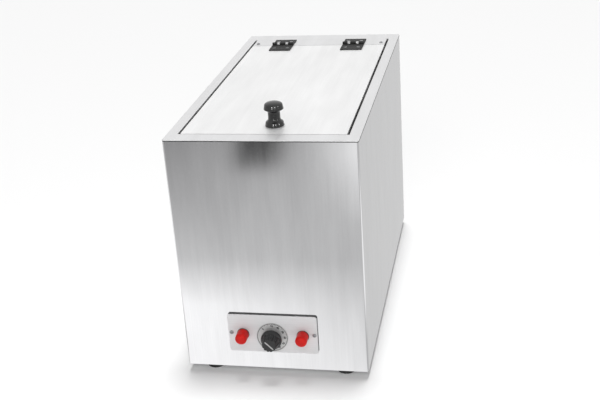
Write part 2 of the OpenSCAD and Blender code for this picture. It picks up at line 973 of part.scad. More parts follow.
// Waisted knob on the lid, with a blind hole for its screw
module lid_knob() {
    color([0.04, 0.04, 0.04])
        translate([knob_x, knob_y, top_z])
            difference() {
                rotate_extrude()
                    polygon(concat(
                        [[0, 0], [knob_foot_d / 2, 0]],
                        waist_curve(16),
                        dome_curve(8)
                    ));
                translate([0, 0, -cut])
                    cylinder(d = bolt_d + pin_play, h = knob_h / 3 + cut);
            }
}

// Screw and washer that hold the lid knob from below
module lid_knob_screw() {
    washer_h = sheet;
    color("gainsboro")
        translate([knob_x, knob_y, lid_under]) {
            mirror([0, 0, 1])
                difference() {
                    cylinder(d = 2 * bolt_head_d, h = washer_h);
                    bore(bolt_d + hole_play, 0, washer_h);
                }
            translate([0, 0, -washer_h])
                mirror([0, 0, 1])
                    dome_screw(bolt_d, bolt_head_d, bolt_head_h, washer_h + sheet + knob_h / 3 - cut);
        }
}

// One knuckle along the hinge axis, counted from the left
module knuckle(i, bore_d) {
    pitch = hinge_len / knuckles;
    translate([-hinge_len / 2 + i * pitch + run_gap / 2, 0, 0])
        rotate([0, 90, 0])
            difference() {
                cylinder(d = barrel_d, h = pitch - run_gap);
                bore(bore_d, 0, pitch - run_gap);
            }
}

// Flat of a leaf with its tabs under its own knuckles; side is 1 for the strip and -1 for the lid
module leaf(side, first, bore_d) {
    pitch = hinge_len / knuckles;
    low = top_z - axis_z;
    reach = barrel_d / 2 + run_gap;
    difference() {
        union() {
            mirror([0, side < 0 ? 1 : 0, 0]) {
                translate([-hinge_len / 2, reach, low])
                    cube([hinge_len, leaf_d - reach, leaf_t]);
                for (i = [first : 2 : knuckles - 1])
                    translate([-hinge_len / 2 + i * pitch + run_gap / 2, 0, low])
                        cube([pitch - run_gap, reach, leaf_t]);
            }
            for (i = [first : 2 : knuckles - 1])
                knuckle(i, bore_d);
        }
        rotate([0, 90, 0])
            bore(bore_d, -hinge_len / 2, hinge_len / 2);
        for (x = [-leaf_screw_pitch / 2, leaf_screw_pitch / 2])
            translate([x, side * leaf_screw_back, low]) {
                bore(screw_d + hole_play, 0, leaf_t);
                countersink(hole_play / 2);
            }
    }
}

// Cone of a countersunk head whose flat lies in a leaf's upper face
module countersink(play) {
    depth = leaf_t - fit_gap;
    translate([0, 0, fit_gap])
        cylinder(d1 = screw_d + 2 * play, d2 = screw_head_d + 2 * play, h = depth);
}

// Countersunk screws of one kind of leaf, with nuts under the sheet
module leaf_screws(side) {
    shank = sheet + nut_h + sheet;
    at_leaf_screws(side) {
        countersink(0);
        translate([0, 0, -shank])
            cylinder(d = screw_d, h = shank + leaf_t / 2);
        translate([0, 0, -sheet - nut_h])
            hex_nut(nut_af, nut_h, screw_d + pin_play);
    }
}

module hinge_fixed_leaves() {
    color([0.1, 0.1, 0.1])
        at_hinges()
            leaf(1, 0, hinge_pin_d + pin_play / 2);
}

module hinge_lid_leaves() {
    color([0.1, 0.1, 0.1])
        at_hinges()
            leaf(-1, 1, hinge_pin_d + pin_play);
}

module hinge_pins() {
    color([0.25, 0.25, 0.25])
        at_hinges()
            rotate([0, 90, 0])
                translate([0, 0, -hinge_len / 2])
                    cylinder(d = hinge_pin_d, h = hinge_len);
}

module hinge_fixed_screws() {
    color([0.5, 0.5, 0.5])
        leaf_screws(1);
}

module hinge_lid_screws() {
    color([0.5, 0.5, 0.5])
        leaf_screws(-1);
}

// Open tank with round corners and a coved floor, hung by its rim under the frame's lip
module wax_tank() {
    rim_out = sheet + rim_lap;
    rim_under = rim_z - tank_t;
    color("lightgray")
        difference() {
            union() {
                span_box(open_w + 2 * rim_out, open_front - rim_out, open_rear + rim_out, rim_under, rim_z);
                coved_block(
                    tank_w + 2 * tank_t,
                    tank_front - tank_t,
                    tank_rear + tank_t,
                    tank_r + tank_t,
                    tank_cove + tank_t,
                    tank_under,
                    rim_z
                );
            }
            coved_block(tank_w, tank_front, tank_rear, tank_r, tank_cove, tank_floor, rim_z + cut);
        }
}

// Wool jacket around the tank's walls
module tank_insulation() {
    inner = tank_t + fit_gap;
    high = rim_z - tank_t - wool_top_gap;
    color("khaki")
        difference() {
            span_plate(
                tank_w + 2 * wool_t,
                tank_front - wool_t,
                tank_rear + wool_t,
                tank_r + wool_t,
                tank_under,
                high
            );
            span_plate(
                tank_w + 2 * inner,
                tank_front - inner,
                tank_rear + inner,
                tank_r + inner,
                tank_under - cut,
                high + cut
            );
        }
}

function run_x(i) = (i - (heater_runs - 1) / 2) * heater_pitch;

// Tubular element laid to and fro under the tank, with both ends at the front
module heater_element() {
    color([0.35, 0.33, 0.32]) {
        for (i = [0 : heater_runs - 1])
            rod_y(run_x(i), heater_z, heater_d, run_front, run_rear);
        for (i = [0 : heater_runs - 2])
            translate([(run_x(i) + run_x(i + 1)) / 2, i % 2 == 0 ? run_rear : run_front, heater_z])
                rotate([0, 0, i % 2 == 0 ? 0 : 180])
                    rotate_extrude(angle = 180)
                        translate([heater_pitch / 2, 0])
                            circle(d = heater_d);
        for (i = [0, heater_runs - 1]) {
            rod_y(run_x(i), heater_z, heater_d, pan_front - heater_tail, run_front);
            rod_y(run_x(i), heater_z, heater_pin_d, heater_tip, pan_front);
        }
    }
}

// Bars that press the element against the tank
module heater_clamps() {
    bar_len = (heater_runs - 1) * heater_pitch + heater_d + 2 * clamp_overhang;
    color("gainsboro")
        difference() {
            for (y = [-clamp_pitch / 2, clamp_pitch / 2])
                translate([-bar_len / 2, tank_mid + y - clamp_w / 2, clamp_z - clamp_t])
                    cube([bar_len, clamp_w, clamp_t]);
            at_studs()
                bore(stud_d + hole_play, clamp_z - clamp_t, clamp_z);
        }
}

// Studs welded under the tank, with the nuts that carry the clamp bars
module heater_studs() {
    nut_af = 1.6 * stud_d;
    color("gainsboro")
        at_studs() {
            translate([0, 0, tank_under - stud_len])
                cylinder(d = stud_d, h = stud_len);
            translate([0, 0, clamp_z - clamp_t - nut_h])
                hex_nut(nut_af, nut_h, stud_d + pin_play);
        }
}

// Shallow tray that boxes the element in under the tank
module heater_pan() {
    flange_out = pan_t + pan_flange;
    low = tank_under - pan_h;
    color("lightgray")
        difference() {
            union() {
                span_box(pan_w + 2 * pan_t, pan_front - pan_t, pan_rear + pan_t, low, tank_under);
                span_box(
                    pan_w + 2 * flange_out,
                    pan_front - flange_out,
                    pan_rear + flange_out,
                    tank_under - pan_t,
                    tank_under
                );
            }
            span_box(pan_w, pan_front, pan_rear, low + pan_t, tank_under + cut);
            for (i = [0, heater_runs - 1])
                pan_slot(run_x(i), heater_d + hole_play, heater_z);
            pan_slot(bulb_x, capillary_d + hole_play, bulb_z);
        }
}

// Round-ended slot through the pan's front wall and flange, open towards the tank
module pan_slot(x, w, low) {
    outer = pan_front - pan_t - pan_flange - cut;
    inner = pan_front + cut;
    rod_y(x, low, w, outer, inner);
    translate([x, 0, 0])
        span_box(w, outer, inner, low, tank_under + cut);
}

// Pad of wool on the pan's floor
module heater_pad() {
    low = tank_under - pan_h + pan_t;
    color("khaki")
        span_box(pan_w - 2 * fit_gap, pan_front + fit_gap, pan_rear - fit_gap, low, low + pad_t);
}

// Sensing bulb of the thermostat, close under the tank's floor
module sensor_bulb() {
    color("chocolate")
        rod_y(bulb_x, bulb_z, bulb_d, bulb_front, bulb_front + bulb_len);
}

// Bent clip that holds the bulb to the tank
module bulb_clip() {
    inner_d = bulb_d + 2 * fit_gap;
    outer_d = inner_d + 2 * clip_t;
    front = tank_mid - clip_w / 2;
    rear = tank_mid + clip_w / 2;
    color("gainsboro")
        translate([bulb_x, 0, 0])
            difference() {
                union() {
                    rod_y(0, bulb_z, outer_d, front, rear);
                    span_box(outer_d, front, rear, bulb_z, tank_under);
                    span_box(outer_d + 2 * clip_ear, front, rear, tank_under - clip_t, tank_under);
                }
                rod_y(0, bulb_z, inner_d, front - cut, rear + cut);
                span_box(inner_d, front - cut, rear + cut, bulb_z, tank_under + cut);
            }
}

// Fine tube from the bulb forward, down, and sideways into the thermostat
module capillary_tube() {
    color("chocolate")
        routed_rod(
            [
                [bulb_x, bulb_front, bulb_z],
                [bulb_x, capillary_y, bulb_z],
                [bulb_x, capillary_y, capillary_z],
                [fascia_x + dial_x + thermo_w / 2, capillary_y, capillary_z]
            ],
            capillary_d,
            capillary_r
        );
}

// Plate with the fascia's outline, over a range of distances out of the front
module fascia_layer(inner, outer) {
    difference() {
        on_front(0, fascia_z, inner)
            linear_extrude(outer - inner)
                rounded_rect(fascia_w, fascia_h, fascia_r);
        panel_holes(inner, outer);
    }
}

module fascia_backing() {
    color([0.12, 0.12, 0.12])
        fascia_layer(0, backing_t);
}

module fascia_plate() {
    color("gainsboro")
        fascia_layer(backing_t, fascia_out);
}

module fascia_screws() {
    color("darkgray")
        for (x = [-fascia_screw_x, fascia_screw_x])
            on_front(x, fascia_screw_z, fascia_out) {
                dome_screw(screw_d, screw_head_d, screw_head_h, fascia_out + 2 * sheet + nut_h);
                translate([0, 0, -fascia_out - sheet - nut_h])
                    hex_nut(nut_af, nut_h, screw_d + pin_play);
            }
}

// Round dial under the control knob, with a raised rim
module dial_plate() {
    color("lightgray")
        on_front(dial_x, dial_z, fascia_out)
            difference() {
                cylinder(d = dial_d, h = dial_t + dial_rim_h);
                translate([0, 0, dial_t])
                    cylinder(d = dial_d - 2 * dial_rim_w, h = dial_rim_h + cut);
                bore(bush_d + hole_play, 0, dial_t);
            }
}

// Thermostat behind the front sheet, with its threaded bush through the panel
module thermostat_body() {
    tab_w = 6;
    tab_t = 0.8;
    color([0.85, 0.83, 0.78])
        difference() {
            union() {
                on_front(dial_x, dial_z, -sheet - thermo_d)
                    linear_extrude(thermo_d)
                        rounded_rect(thermo_w, thermo_w, fascia_r);
                on_front(dial_x, dial_z, -sheet - thermo_d)
                    cylinder(d = bush_d, h = thermo_d + sheet + bush_out);
                for (x = [-tab_x, tab_x])
                    on_front(dial_x + x, dial_z, -sheet - thermo_d - tab_len)
                        linear_extrude(tab_len + cut)
                            square([tab_t, tab_w], center = true);
            }
            on_front(dial_x, dial_z)
                bore(shaft_d + pin_play, -sheet - shaft_in, bush_out);
        }
}

module thermostat_nut() {
    color("gainsboro")
        on_front(dial_x, dial_z, dial_out)
            hex_nut(bush_nut_af, bush_nut_h, bush_d + pin_play);
}

module thermostat_shaft() {
    color("gainsboro")
        on_front(dial_x, dial_z, -sheet - shaft_in)
            cylinder(d = shaft_d, h = sheet + shaft_in + shaft_tip);
}

// Fluted control knob with a skirt, hollow behind to clear the nut
module thermostat_knob() {
    edge = 1;
    grip_h = dial_skirt_h + 2;
    taper = atan((grip_foot_d - grip_face_d - 2 * edge) / 2 / (dial_knob_h - edge - grip_h));
    color([0.05, 0.05, 0.05])
        on_front(dial_x, dial_z, knob_out)
            difference() {
                rotate_extrude()
                    polygon([
                        [0, 0],
                        [dial_knob_d / 2, 0],
                        [dial_knob_d / 2, dial_skirt_h - edge],
                        [dial_knob_d / 2 - edge, dial_skirt_h],
                        [grip_foot_d / 2, grip_h],
                        [grip_face_d / 2 + edge, dial_knob_h - edge],
                        [grip_face_d / 2, dial_knob_h],
                        [0, dial_knob_h]
                    ]);
                translate([0, 0, -cut])
                    cylinder(d = knob_hollow_d, h = knob_hollow_h + cut);
                bore(shaft_d + pin_play / 2, 0, shaft_tip - knob_out - cut + fit_gap);
                for (i = [0 : flutes - 1])
                    rotate([0, 0, 360 * i / flutes])
                        translate([grip_foot_d / 2 + flute_d / 4, 0, grip_h])
                            rotate([0, -taper, 0])
                                cylinder(d = flute_d, h = dial_knob_h);
                pointer_bar(fit_gap, pointer_t + cut);
            }
}

// Bar across the knob's face, with a play around it and a height above its seat
module pointer_bar(play, h) {
    w = pointer_w + play;
    len = pointer_len + play;
    rotate([0, 0, pointer_turn])
        translate([-w / 2, -len / 2, dial_knob_h - pointer_t])
            cube([w, len, h]);
}

// White line let into the knob's face
module knob_pointer() {
    color("white")
        on_front(dial_x, dial_z, knob_out)
            pointer_bar(0, pointer_t + fit_gap);
}

function lens_curve(steps) = [
    for (i = [0 : steps])
        let (a = 90 * i / steps)
        [lens_d / 2 * pow(cos(a), lens_full), lens_h - lens_round + lens_round * sin(a)]
];

// Long red lenses of the two indicator lamps
module lamp_lenses() {
    color([0.85, 0.05, 0.05])
        at_lamps(lens_out)
            rotate_extrude()
                polygon(concat([[0, 0], [lens_d / 2, 0]], lens_curve(8)));
}

module lamp_bezels() {
    color([0.12, 0.12, 0.12])
        at_lamps(fascia_out)
            difference() {
                cylinder(d1 = bezel_d, d2 = bezel_d - bezel_t, h = bezel_t);
                bore(lamp_d + hole_play, 0, bezel_t);
            }
}

module lamp_bodies() {
    color([0.15, 0.15, 0.15])
        at_lamps(-sheet - lamp_len)
            cylinder(d = lamp_d, h = lamp_len + sheet + lens_out);
}

module lamp_nuts() {
    color("gainsboro")
        at_lamps(-sheet - lamp_nut_h)
            hex_nut(lamp_nut_af, lamp_nut_h, lamp_d + pin_play);
}

// Place across the cabinet of one way of the terminal block, counted from the left
function way_x(i) = (i - (term_ways - 1) / 2) * term_pitch;

// Places children at each way of the terminal block
module at_terminals() {
    for (i = [0 : term_ways - 1])
        translate([way_x(i), term_y, floor_z])
            children();
}

// Terminal block on the base plate, with wells over its screws
module terminal_block() {
    block_w = term_ways * term_pitch;
    well_d = term_pitch / 2;
    gap_w = term_pitch / 8;
    gap_z = floor_z + term_h / 2;
    color("ivory")
        difference() {
            span_box(block_w, term_y - term_d / 2, term_y + term_d / 2, floor_z, floor_z + term_h);
            at_terminals() {
                for (y = [-term_d / 4, term_d / 4])
                    translate([0, y, term_h / 2])
                        cylinder(d = well_d, h = term_h);
                rod_y(0, term_h / 3, well_d * 0.6, -term_d, term_d);
            }
            for (i = [1 : term_ways - 1])
                translate([(i - term_ways / 2) * term_pitch, 0, 0])
                    span_box(gap_w, term_y - term_d, term_y + term_d, gap_z, gap_z + term_h);
        }
}

module terminal_screws() {
    color("goldenrod")
        at_terminals()
            for (y = [-term_d / 4, term_d / 4])
                translate([0, y, term_h / 2])
                    cylinder(d = term_pitch / 2 - 2 * fit_gap, h = term_h / 4);
}

// Wire from a way of the terminal block to a pin of the heater, up in front of the pan
module heater_wire(i, x) {
    routed_rod(
        [
            [way_x(i), wire_in, wire_z],
            [way_x(i), heater_rise, wire_z],
            [x, heater_rise, wire_z],
            [x, heater_rise, heater_z],
            [x, heater_tip, heater_z]
        ],
        wire_d,
        wire_r
    );
}

// Wire from a way of the terminal block to the rear of a piece on the control panel
module panel_wire(i, x, tip, z) {
    routed_rod(
        [
            [way_x(i), wire_in, wire_z],
            [way_x(i), tip + 3 * wire_lead, wire_z],
            [fascia_x + x, tip + wire_lead, z],
            [fascia_x + x, tip, z]
        ],
        wire_d,
        wire_r
    );
}

// One wire for each way: heater, lamp, thermostat, thermostat, lamp, heater
module wires() {
    color("firebrick") {
        heater_wire(0, run_x(0));
        panel_wire(1, -lamp_x, lamp_tip, lamp_z);
        panel_wire(2, dial_x - tab_x, tab_tip, dial_z);
        panel_wire(3, dial_x + tab_x, tab_tip, dial_z);
        panel_wire(4, lamp_x, lamp_tip, lamp_z);
        heater_wire(5, run_x(heater_runs - 1));
    }
}

// Earthing screw through the base plate, with its nut
module earth_stud() {
    color("goldenrod")
        translate([earth_inset - body_w / 2, term_y, 0]) {
            translate([0, 0, base_z])
                mirror([0, 0, 1])
                    dome_screw(bolt_d, bolt_head_d, bolt_head_h, sheet + 4 * bolt_nut_h);
            translate([0, 0, floor_z])
                hex_nut(bolt_nut_af, bolt_nut_h, bolt_d + pin_play);
        }
}

// Cable gland through the rear panel: collar, domed cap and threaded shank
module cord_gland() {
    cap_d = gland_af - 2 * sheet;
    cone_z = gland_collar_h + gland_cap_h - gland_cone_h;
    color([0.1, 0.1, 0.1])
        on_rear(gland_x, gland_z)
            difference() {
                union() {
                    cylinder(d = gland_af / cos(30), h = gland_collar_h, $fn = 6);
                    cylinder(d = cap_d, h = cone_z);
                    translate([0, 0, cone_z])
                        cylinder(d1 = cap_d, d2 = gland_bore_d + 4, h = gland_cone_h);
                    translate([0, 0, -sheet - gland_in])
                        cylinder(d = gland_d, h = sheet + gland_in + cut);
                }
                bore(gland_bore_d, -sheet - gland_in, gland_collar_h + gland_cap_h);
            }
}

module gland_locknut() {
    color([0.1, 0.1, 0.1])
        on_rear(gland_x, gland_z)
            translate([0, 0, -sheet - gland_nut_h])
                hex_nut(gland_af, gland_nut_h, gland_d + pin_play);
}

casing();
rear_panel();
rear_screws();
base_plate();
base_screws();
feet();
foot_screws();
top_frame();
hinge_strip();
strip_posts();
strip_screws();
lid_panel();
lid_liner();
lid_insulation();
lid_seal();
lid_knob();
lid_knob_screw();
hinge_fixed_leaves();
hinge_lid_leaves();
hinge_pins();
hinge_fixed_screws();
hinge_lid_screws();
wax_tank();
tank_insulation();
heater_element();
heater_clamps();
heater_studs();
heater_pan();
heater_pad();
sensor_bulb();
bulb_clip();
capillary_tube();
fascia_backing();
fascia_plate();
fascia_screws();
dial_plate();
thermostat_body();
thermostat_nut();
thermostat_shaft();
thermostat_knob();
knob_pointer();
lamp_lenses();
lamp_bezels();
lamp_bodies();
lamp_nuts();
terminal_block();
terminal_screws();
wires();
earth_stud();
cord_gland();
gland_locknut();
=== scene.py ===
"""Looks of a paraffin wax bath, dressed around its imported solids.

Metres. X is to the right, Y to the rear, Z up, as in the solids' own frame.
"""

import json
import math

import bmesh
import bpy
from mathutils import Matrix, Vector


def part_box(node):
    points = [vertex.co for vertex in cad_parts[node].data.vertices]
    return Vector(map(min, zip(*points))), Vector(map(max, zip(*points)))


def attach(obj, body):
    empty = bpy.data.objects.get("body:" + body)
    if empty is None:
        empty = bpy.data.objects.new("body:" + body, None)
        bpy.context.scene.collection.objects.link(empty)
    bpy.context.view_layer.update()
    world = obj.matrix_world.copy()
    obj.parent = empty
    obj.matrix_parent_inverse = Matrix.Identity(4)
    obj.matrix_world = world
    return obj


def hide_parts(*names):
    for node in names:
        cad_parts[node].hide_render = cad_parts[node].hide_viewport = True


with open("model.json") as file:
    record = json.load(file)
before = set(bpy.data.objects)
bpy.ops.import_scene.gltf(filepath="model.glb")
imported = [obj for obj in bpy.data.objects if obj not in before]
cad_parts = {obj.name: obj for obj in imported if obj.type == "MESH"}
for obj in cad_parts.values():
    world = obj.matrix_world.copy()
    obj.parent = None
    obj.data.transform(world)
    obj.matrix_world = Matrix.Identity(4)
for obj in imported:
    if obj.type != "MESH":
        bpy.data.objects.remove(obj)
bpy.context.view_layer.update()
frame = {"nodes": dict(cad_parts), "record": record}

MM = 0.001
NODES = frame["nodes"]
SLOT_OF = {part["node"]: part["material_slot"] for part in frame["record"]["subparts"]}

# Directions, and turns that bring a piece's own Z to the front or to the rear
UP = (0, 0, 1)
DOWN = (0, 0, -1)
FORWARDS = (0, -1, 0)
BACKWARDS = (0, 1, 0)
FRONTWARD = Matrix.Rotation(math.radians(90), 4, "X")
REARWARD = Matrix.Rotation(math.radians(-90), 4, "X")

# Camera, at the photograph's viewing angle
PHOTO_W = 600
FOCAL_PX = 1044.5
SENSOR_MM = 36.0
CAMERA_AT = Vector((0.363, -1.712, 0.938))
CAMERA_AIM = Vector((-0.008, 0.0, 0.18))
CAMERA_ROLL = math.radians(-4.0)

# Floor and surroundings
FLOOR_SIZE = 40.0
FLOOR_WHITE = 0.9
FLOOR_ROUGH = 0.9
FLOOR_GLOW = 0.12
WORLD_FILL = 0.2

# Small lamps for highlights: degrees to the right of straight ahead, and watts
GLINT_REACH = 2.2
GLINT_HEIGHT = 0.6
GLINT_SIZE = (0.16, 0.15)
GLINT_AIM = (0.0, 0.0, 0.4)
GLINTS = (("glint_left", -5, 4.5), ("glint_middle", 23, 2.5), ("glint_right", 64, 4.5))

# Large lamps
FRONT_LAMP_SIZE = (1.4, 1.0)
FRONT_LAMP_POWER = 18.0
FRONT_LAMP_AT = (0.3, -2.2, 1.7)
FRONT_LAMP_AIM = (0.0, 0.0, 0.3)
TOP_LAMP_STRENGTH = 2.6
TOP_LAMP_ANGLE = math.radians(16)
TOP_LAMP_FROM = (0.05, 0.34, 2.6)

# Cards flat on the floor around the bath; a tone of 1 is white
CARD_SIDE_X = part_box("top_frame")[1].x + 1.0 * MM
CARD_END_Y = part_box("top_frame")[1].y + 4.0 * MM
CARD_REACH = 3.0
CARD_STEPS = 12
CARD_GREY = 0.7
CARD_BRIGHT = 1.35
AROUND_CARD_H = 1.0 * MM
EDGE_CARD_H = 1.5 * MM
FRONT_CARD_H = 2.0 * MM
PATCH_CARD_H = 4.0 * MM

# Noise in the finishes: where most of its values lie
NOISE_LOW = 0.3
NOISE_HIGH = 0.7

# Brushed steel: noise per metre along each axis, and how streaks and smears differ from it
UPRIGHT = (1200.0, 1200.0, 8.0)
LENGTHWISE = (1200.0, 8.0, 1200.0)
STREAK_SCALE = 0.2
STREAK_SHARE = 0.35
SMEAR_LIMIT = 45.0
SMEAR_SHARE = 0.6

# Hinges, with bare metal painted on top of every second knuckle as a painted highlight of the barrel
HINGE_LEN = 41.0 * MM
HINGE_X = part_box("hinge_lid_leaves")[1].x - HINGE_LEN / 2
KNUCKLES = 5
KNUCKLE_LEN = HINGE_LEN / KNUCKLES
PAINTED_HIGHLIGHT_RISE = 2.2 * MM
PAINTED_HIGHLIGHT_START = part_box("top_frame")[1].z + PAINTED_HIGHLIGHT_RISE
PAINTED_HIGHLIGHT_FADE = 0.3 * MM
PAINTED_HIGHLIGHT_ROUGH = 0.3

# Shading of creases, joining of points, rounding of corners and thickness of print
CREASE = math.radians(35)
WELD_GAP = 0.001 * MM
CORNER_STEPS = 5
PRINT_T = 0.06 * MM

# Solids with softened edges, by the width of the softening
SOFT_STEPS = 2
SOFTENED = {
    0.4 * MM: ("casing", "top_frame", "lid_panel", "lid_liner", "wax_tank"),
    0.3 * MM: ("hinge_fixed_leaves", "hinge_lid_leaves", "fascia_backing"),
    0.15 * MM: ("fascia_plate", "dial_plate", "lamp_bezels", "knob_pointer"),
    1.0 * MM: ("feet",),
}

# Dark bead in the joint between the top frame and the walls, a painted shade that stands in for the
# joint's shadow gap
SHEET = 1.2 * MM
CORNER_R = 3.0 * MM
JOINT_H = 1.2 * MM
JOINT_SINK = 0.3 * MM
JOINT_PROUD = 0.1 * MM

# Lid knob
KNOB_FOOT_R = 15.0 * MM
KNOB_FOOT_H = 6.5 * MM
KNOB_WAIST_R = 9.5 * MM
KNOB_RIM_H = 7.0 * MM
KNOB_DOME_H = 4.5 * MM
KNOB_FLARE = 5.0
KNOB_DRAFT = math.tan(math.radians(11))
KNOB_FOOT_EASE = 0.6 * MM
KNOB_STEP_EASE = 1.0 * MM
KNOB_BRIM_EASE = 0.8 * MM
KNOB_WAIST_ROWS = 24
KNOB_DOME_ROWS = 12
KNOB_STEPS = 64

# Thermostat knob
SKIRT_H = 4.0 * MM
SKIRT_SLOPE_H = 2.0 * MM
SKIRT_FOOT_EASE = 0.4 * MM
SKIRT_TOP_EASE = 1.0 * MM
GRIP_FOOT_R = 14.5 * MM
GRIP_FOOT_EASE = 0.8 * MM
GRIP_FACE_R = 11.5 * MM
GRIP_FACE_EASE = 1.0 * MM
GRIP_FACE_T = 2.8 * MM
GRIP_RING_R = 5.5 * MM
GRIP_ROWS = 10
HOLLOW_R = 10.5 * MM
HOLLOW_H = 4.5 * MM
SHAFT_R = 3.05 * MM
FLUTES = 12
FLUTE_DEPTH = 1.2 * MM
FLUTE_FADE_H = 3.0 * MM
FLUTE_STOP_R = 8.8 * MM
FLUTE_FULL = 0.8
FLUTE_STEPS = 16

# Dial; angles are degrees clockwise from the top
SCALE_START = -45
SCALE_END = 225
DIAL_RIM_H = 0.3 * MM
TICK_STEP = 15
TICK_INSET = 2.4 * MM
TICK_LEN = 1.2 * MM
TICK_W = 0.6 * MM
# Thin dark ring inside the rim: painted shade that stands in for the rim's shadow
RIM_SHADE_INSET = 1.2 * MM
RIM_SHADE_W = 0.8 * MM
RIM_SHADE_STEPS = 96
NUMBER_FIRST = 30
NUMBER_STEP = 10
NUMBER_TURN = 30
NUMBER_COUNT = 7
NUMBER_H = 4.6 * MM
NUMBER_BOLD = 0.05 * NUMBER_H

# Lamp lenses
LENS_ROUND = 3.5 * MM
LENS_FULL = 0.6
LENS_FOOT_EASE = 0.3 * MM
LENS_ROWS = 14
LENS_STEPS = 48

# Cable gland
GLAND_SIDES = 6
GLAND_AF = 25.0 * MM
GLAND_COLLAR_H = 5.5 * MM
GLAND_CAP_INSET = 1.2 * MM
GLAND_DOME_H = 10.5 * MM
GLAND_DOME_ROWS = 8
GLAND_TIP_W = 2.0 * MM
GLAND_TIP_EASE = 0.5 * MM
GLAND_SHANK_R = 10.0 * MM
GLAND_BORE_R = 4.0 * MM
GLAND_EASE = 0.8 * MM
GLAND_RIBS = 30
GLAND_RIB_DEPTH = 0.5 * MM
GLAND_RIB_START = 1.0 * MM
GLAND_RIB_STEPS = 6

# Cross recess of a screw, as shares of its head's width
RECESS_SPAN = 0.6
RECESS_SLOT = 0.15
RECESS_DEPTH = 0.22

# Taper of the recess, as shares of its span at the bottom and at the top of the cutter
RECESS_BOTTOM = 0.55
RECESS_TOP = 1.3

# Screws that show from outside or with the lid open: the way their heads face, and their body
SCREWS = (
    ("strip_screws", UP, "cabinet"),
    ("hinge_fixed_screws", UP, "cabinet"),
    ("hinge_lid_screws", UP, "lid"),
    ("fascia_screws", FORWARDS, "cabinet"),
    ("rear_screws", BACKWARDS, "cabinet"),
    ("base_screws", DOWN, "cabinet"),
)


# Helpers


def add_object(name, data):
    """A new object in the scene for a mesh, a text, a lamp or a camera."""
    obj = bpy.data.objects.new(name, data)
    bpy.context.scene.collection.objects.link(obj)
    return obj


def mesh_data(name, mesh):
    """Mesh data of a bmesh, which is used up."""
    data = bpy.data.meshes.new(name)
    mesh.to_mesh(data)
    mesh.free()
    return data


def new_material(name):
    """A material with a Principled shader, and its node tree."""
    material = bpy.data.materials.new(name)
    material.use_nodes = True
    tree = material.node_tree
    return material, tree, tree.nodes["Principled BSDF"]


def combined(tree, operation, *values):
    """Result of a calculation on values, which are sockets or plain numbers."""
    result = tree.nodes.new("ShaderNodeMath")
    result.operation = operation
    for value, socket in zip(values, result.inputs):
        if isinstance(value, (int, float)):
            socket.default_value = value
        else:
            tree.links.new(value, socket)
    return result.outputs[0]


# Studio


def make_camera():
    """Puts the camera where the photograph was taken from."""
    data = bpy.data.cameras.new("camera")
    data.sensor_width = SENSOR_MM
    data.lens = FOCAL_PX * SENSOR_MM / PHOTO_W
    camera = add_object("camera", data)
    camera.location = CAMERA_AT
    aim = (CAMERA_AIM - CAMERA_AT).to_track_quat("-Z", "Y")
    camera.rotation_mode = "QUATERNION"
    camera.rotation_quaternion = aim @ Matrix.Rotation(CAMERA_ROLL, 3, "Z").to_quaternion()
    bpy.context.scene.camera = camera


def seen_directly(tree):
    """1 for what the camera sees, directly or in metal or glass, and 0 for light that spreads."""
    path = tree.nodes.new("ShaderNodeLightPath")
    value = path.outputs["Is Camera Ray"]
    for ray in ("Is Glossy Ray", "Is Transmission Ray"):
        value = combined(tree, "MAXIMUM", value, path.outputs[ray])
    return value


def make_world():
    """White surroundings for the camera and for reflections, dimmer as fill light."""
    world = bpy.data.worlds.new("studio")
    bpy.context.scene.world = world
    world.use_nodes = True
    tree = world.node_tree
    tree.nodes.clear()
    out = tree.nodes.new("ShaderNodeOutputWorld")
    mix = tree.nodes.new("ShaderNodeMixShader")
    tree.links.new(seen_directly(tree), mix.inputs[0])
    for socket, strength in ((1, WORLD_FILL), (2, 1.0)):
        background = tree.nodes.new("ShaderNodeBackground")
        background.inputs["Color"].default_value = (1.0, 1.0, 1.0, 1.0)
        background.inputs["Strength"].default_value = strength
        tree.links.new(background.outputs[0], mix.inputs[socket])
    tree.links.new(mix.outputs[0], out.inputs["Surface"])


def make_floor():
    """Plain pale floor under the bath, with a little of its white seen directly."""
    half = FLOOR_SIZE / 2
    mesh = bpy.data.meshes.new("floor")
    corners = [(-half, -half, 0.0), (half, -half, 0.0), (half, half, 0.0), (-half, half, 0.0)]
    mesh.from_pydata(corners, [], [(0, 1, 2, 3)])
    floor = add_object("floor", mesh)
    material, tree, shader = new_material("floor_white")
    shader.inputs["Base Color"].default_value = (FLOOR_WHITE, FLOOR_WHITE, FLOOR_WHITE, 1.0)
    shader.inputs["Roughness"].default_value = FLOOR_ROUGH
    shader.inputs["Specular IOR Level"].default_value = 0.0
    share = combined(tree, "MULTIPLY", seen_directly(tree), FLOOR_GLOW)
    glow = tree.nodes.new("ShaderNodeEmission")
    mix = tree.nodes.new("ShaderNodeMixShader")
    tree.links.new(share, mix.inputs[0])
    tree.links.new(shader.outputs[0], mix.inputs[1])
    tree.links.new(glow.outputs[0], mix.inputs[2])
    tree.links.new(mix.outputs[0], tree.nodes["Material Output"].inputs["Surface"])
    mesh.materials.append(material)


def aim_lamp(data, at, aim):
    """Places a lamp so that it faces a point."""
    lamp = add_object(data.name, data)
    lamp.location = at
    lamp.rotation_mode = "QUATERNION"
    lamp.rotation_quaternion = (Vector(aim) - Vector(at)).to_track_quat("-Z", "Y")
    return lamp


def area_lamp(name, size, power, at, aim):
    """Rectangular lamp that faces a point."""
    data = bpy.data.lights.new(name, "AREA")
    data.shape = "RECTANGLE"
    data.size, data.size_y = size
    data.energy = power
    return aim_lamp(data, at, aim)


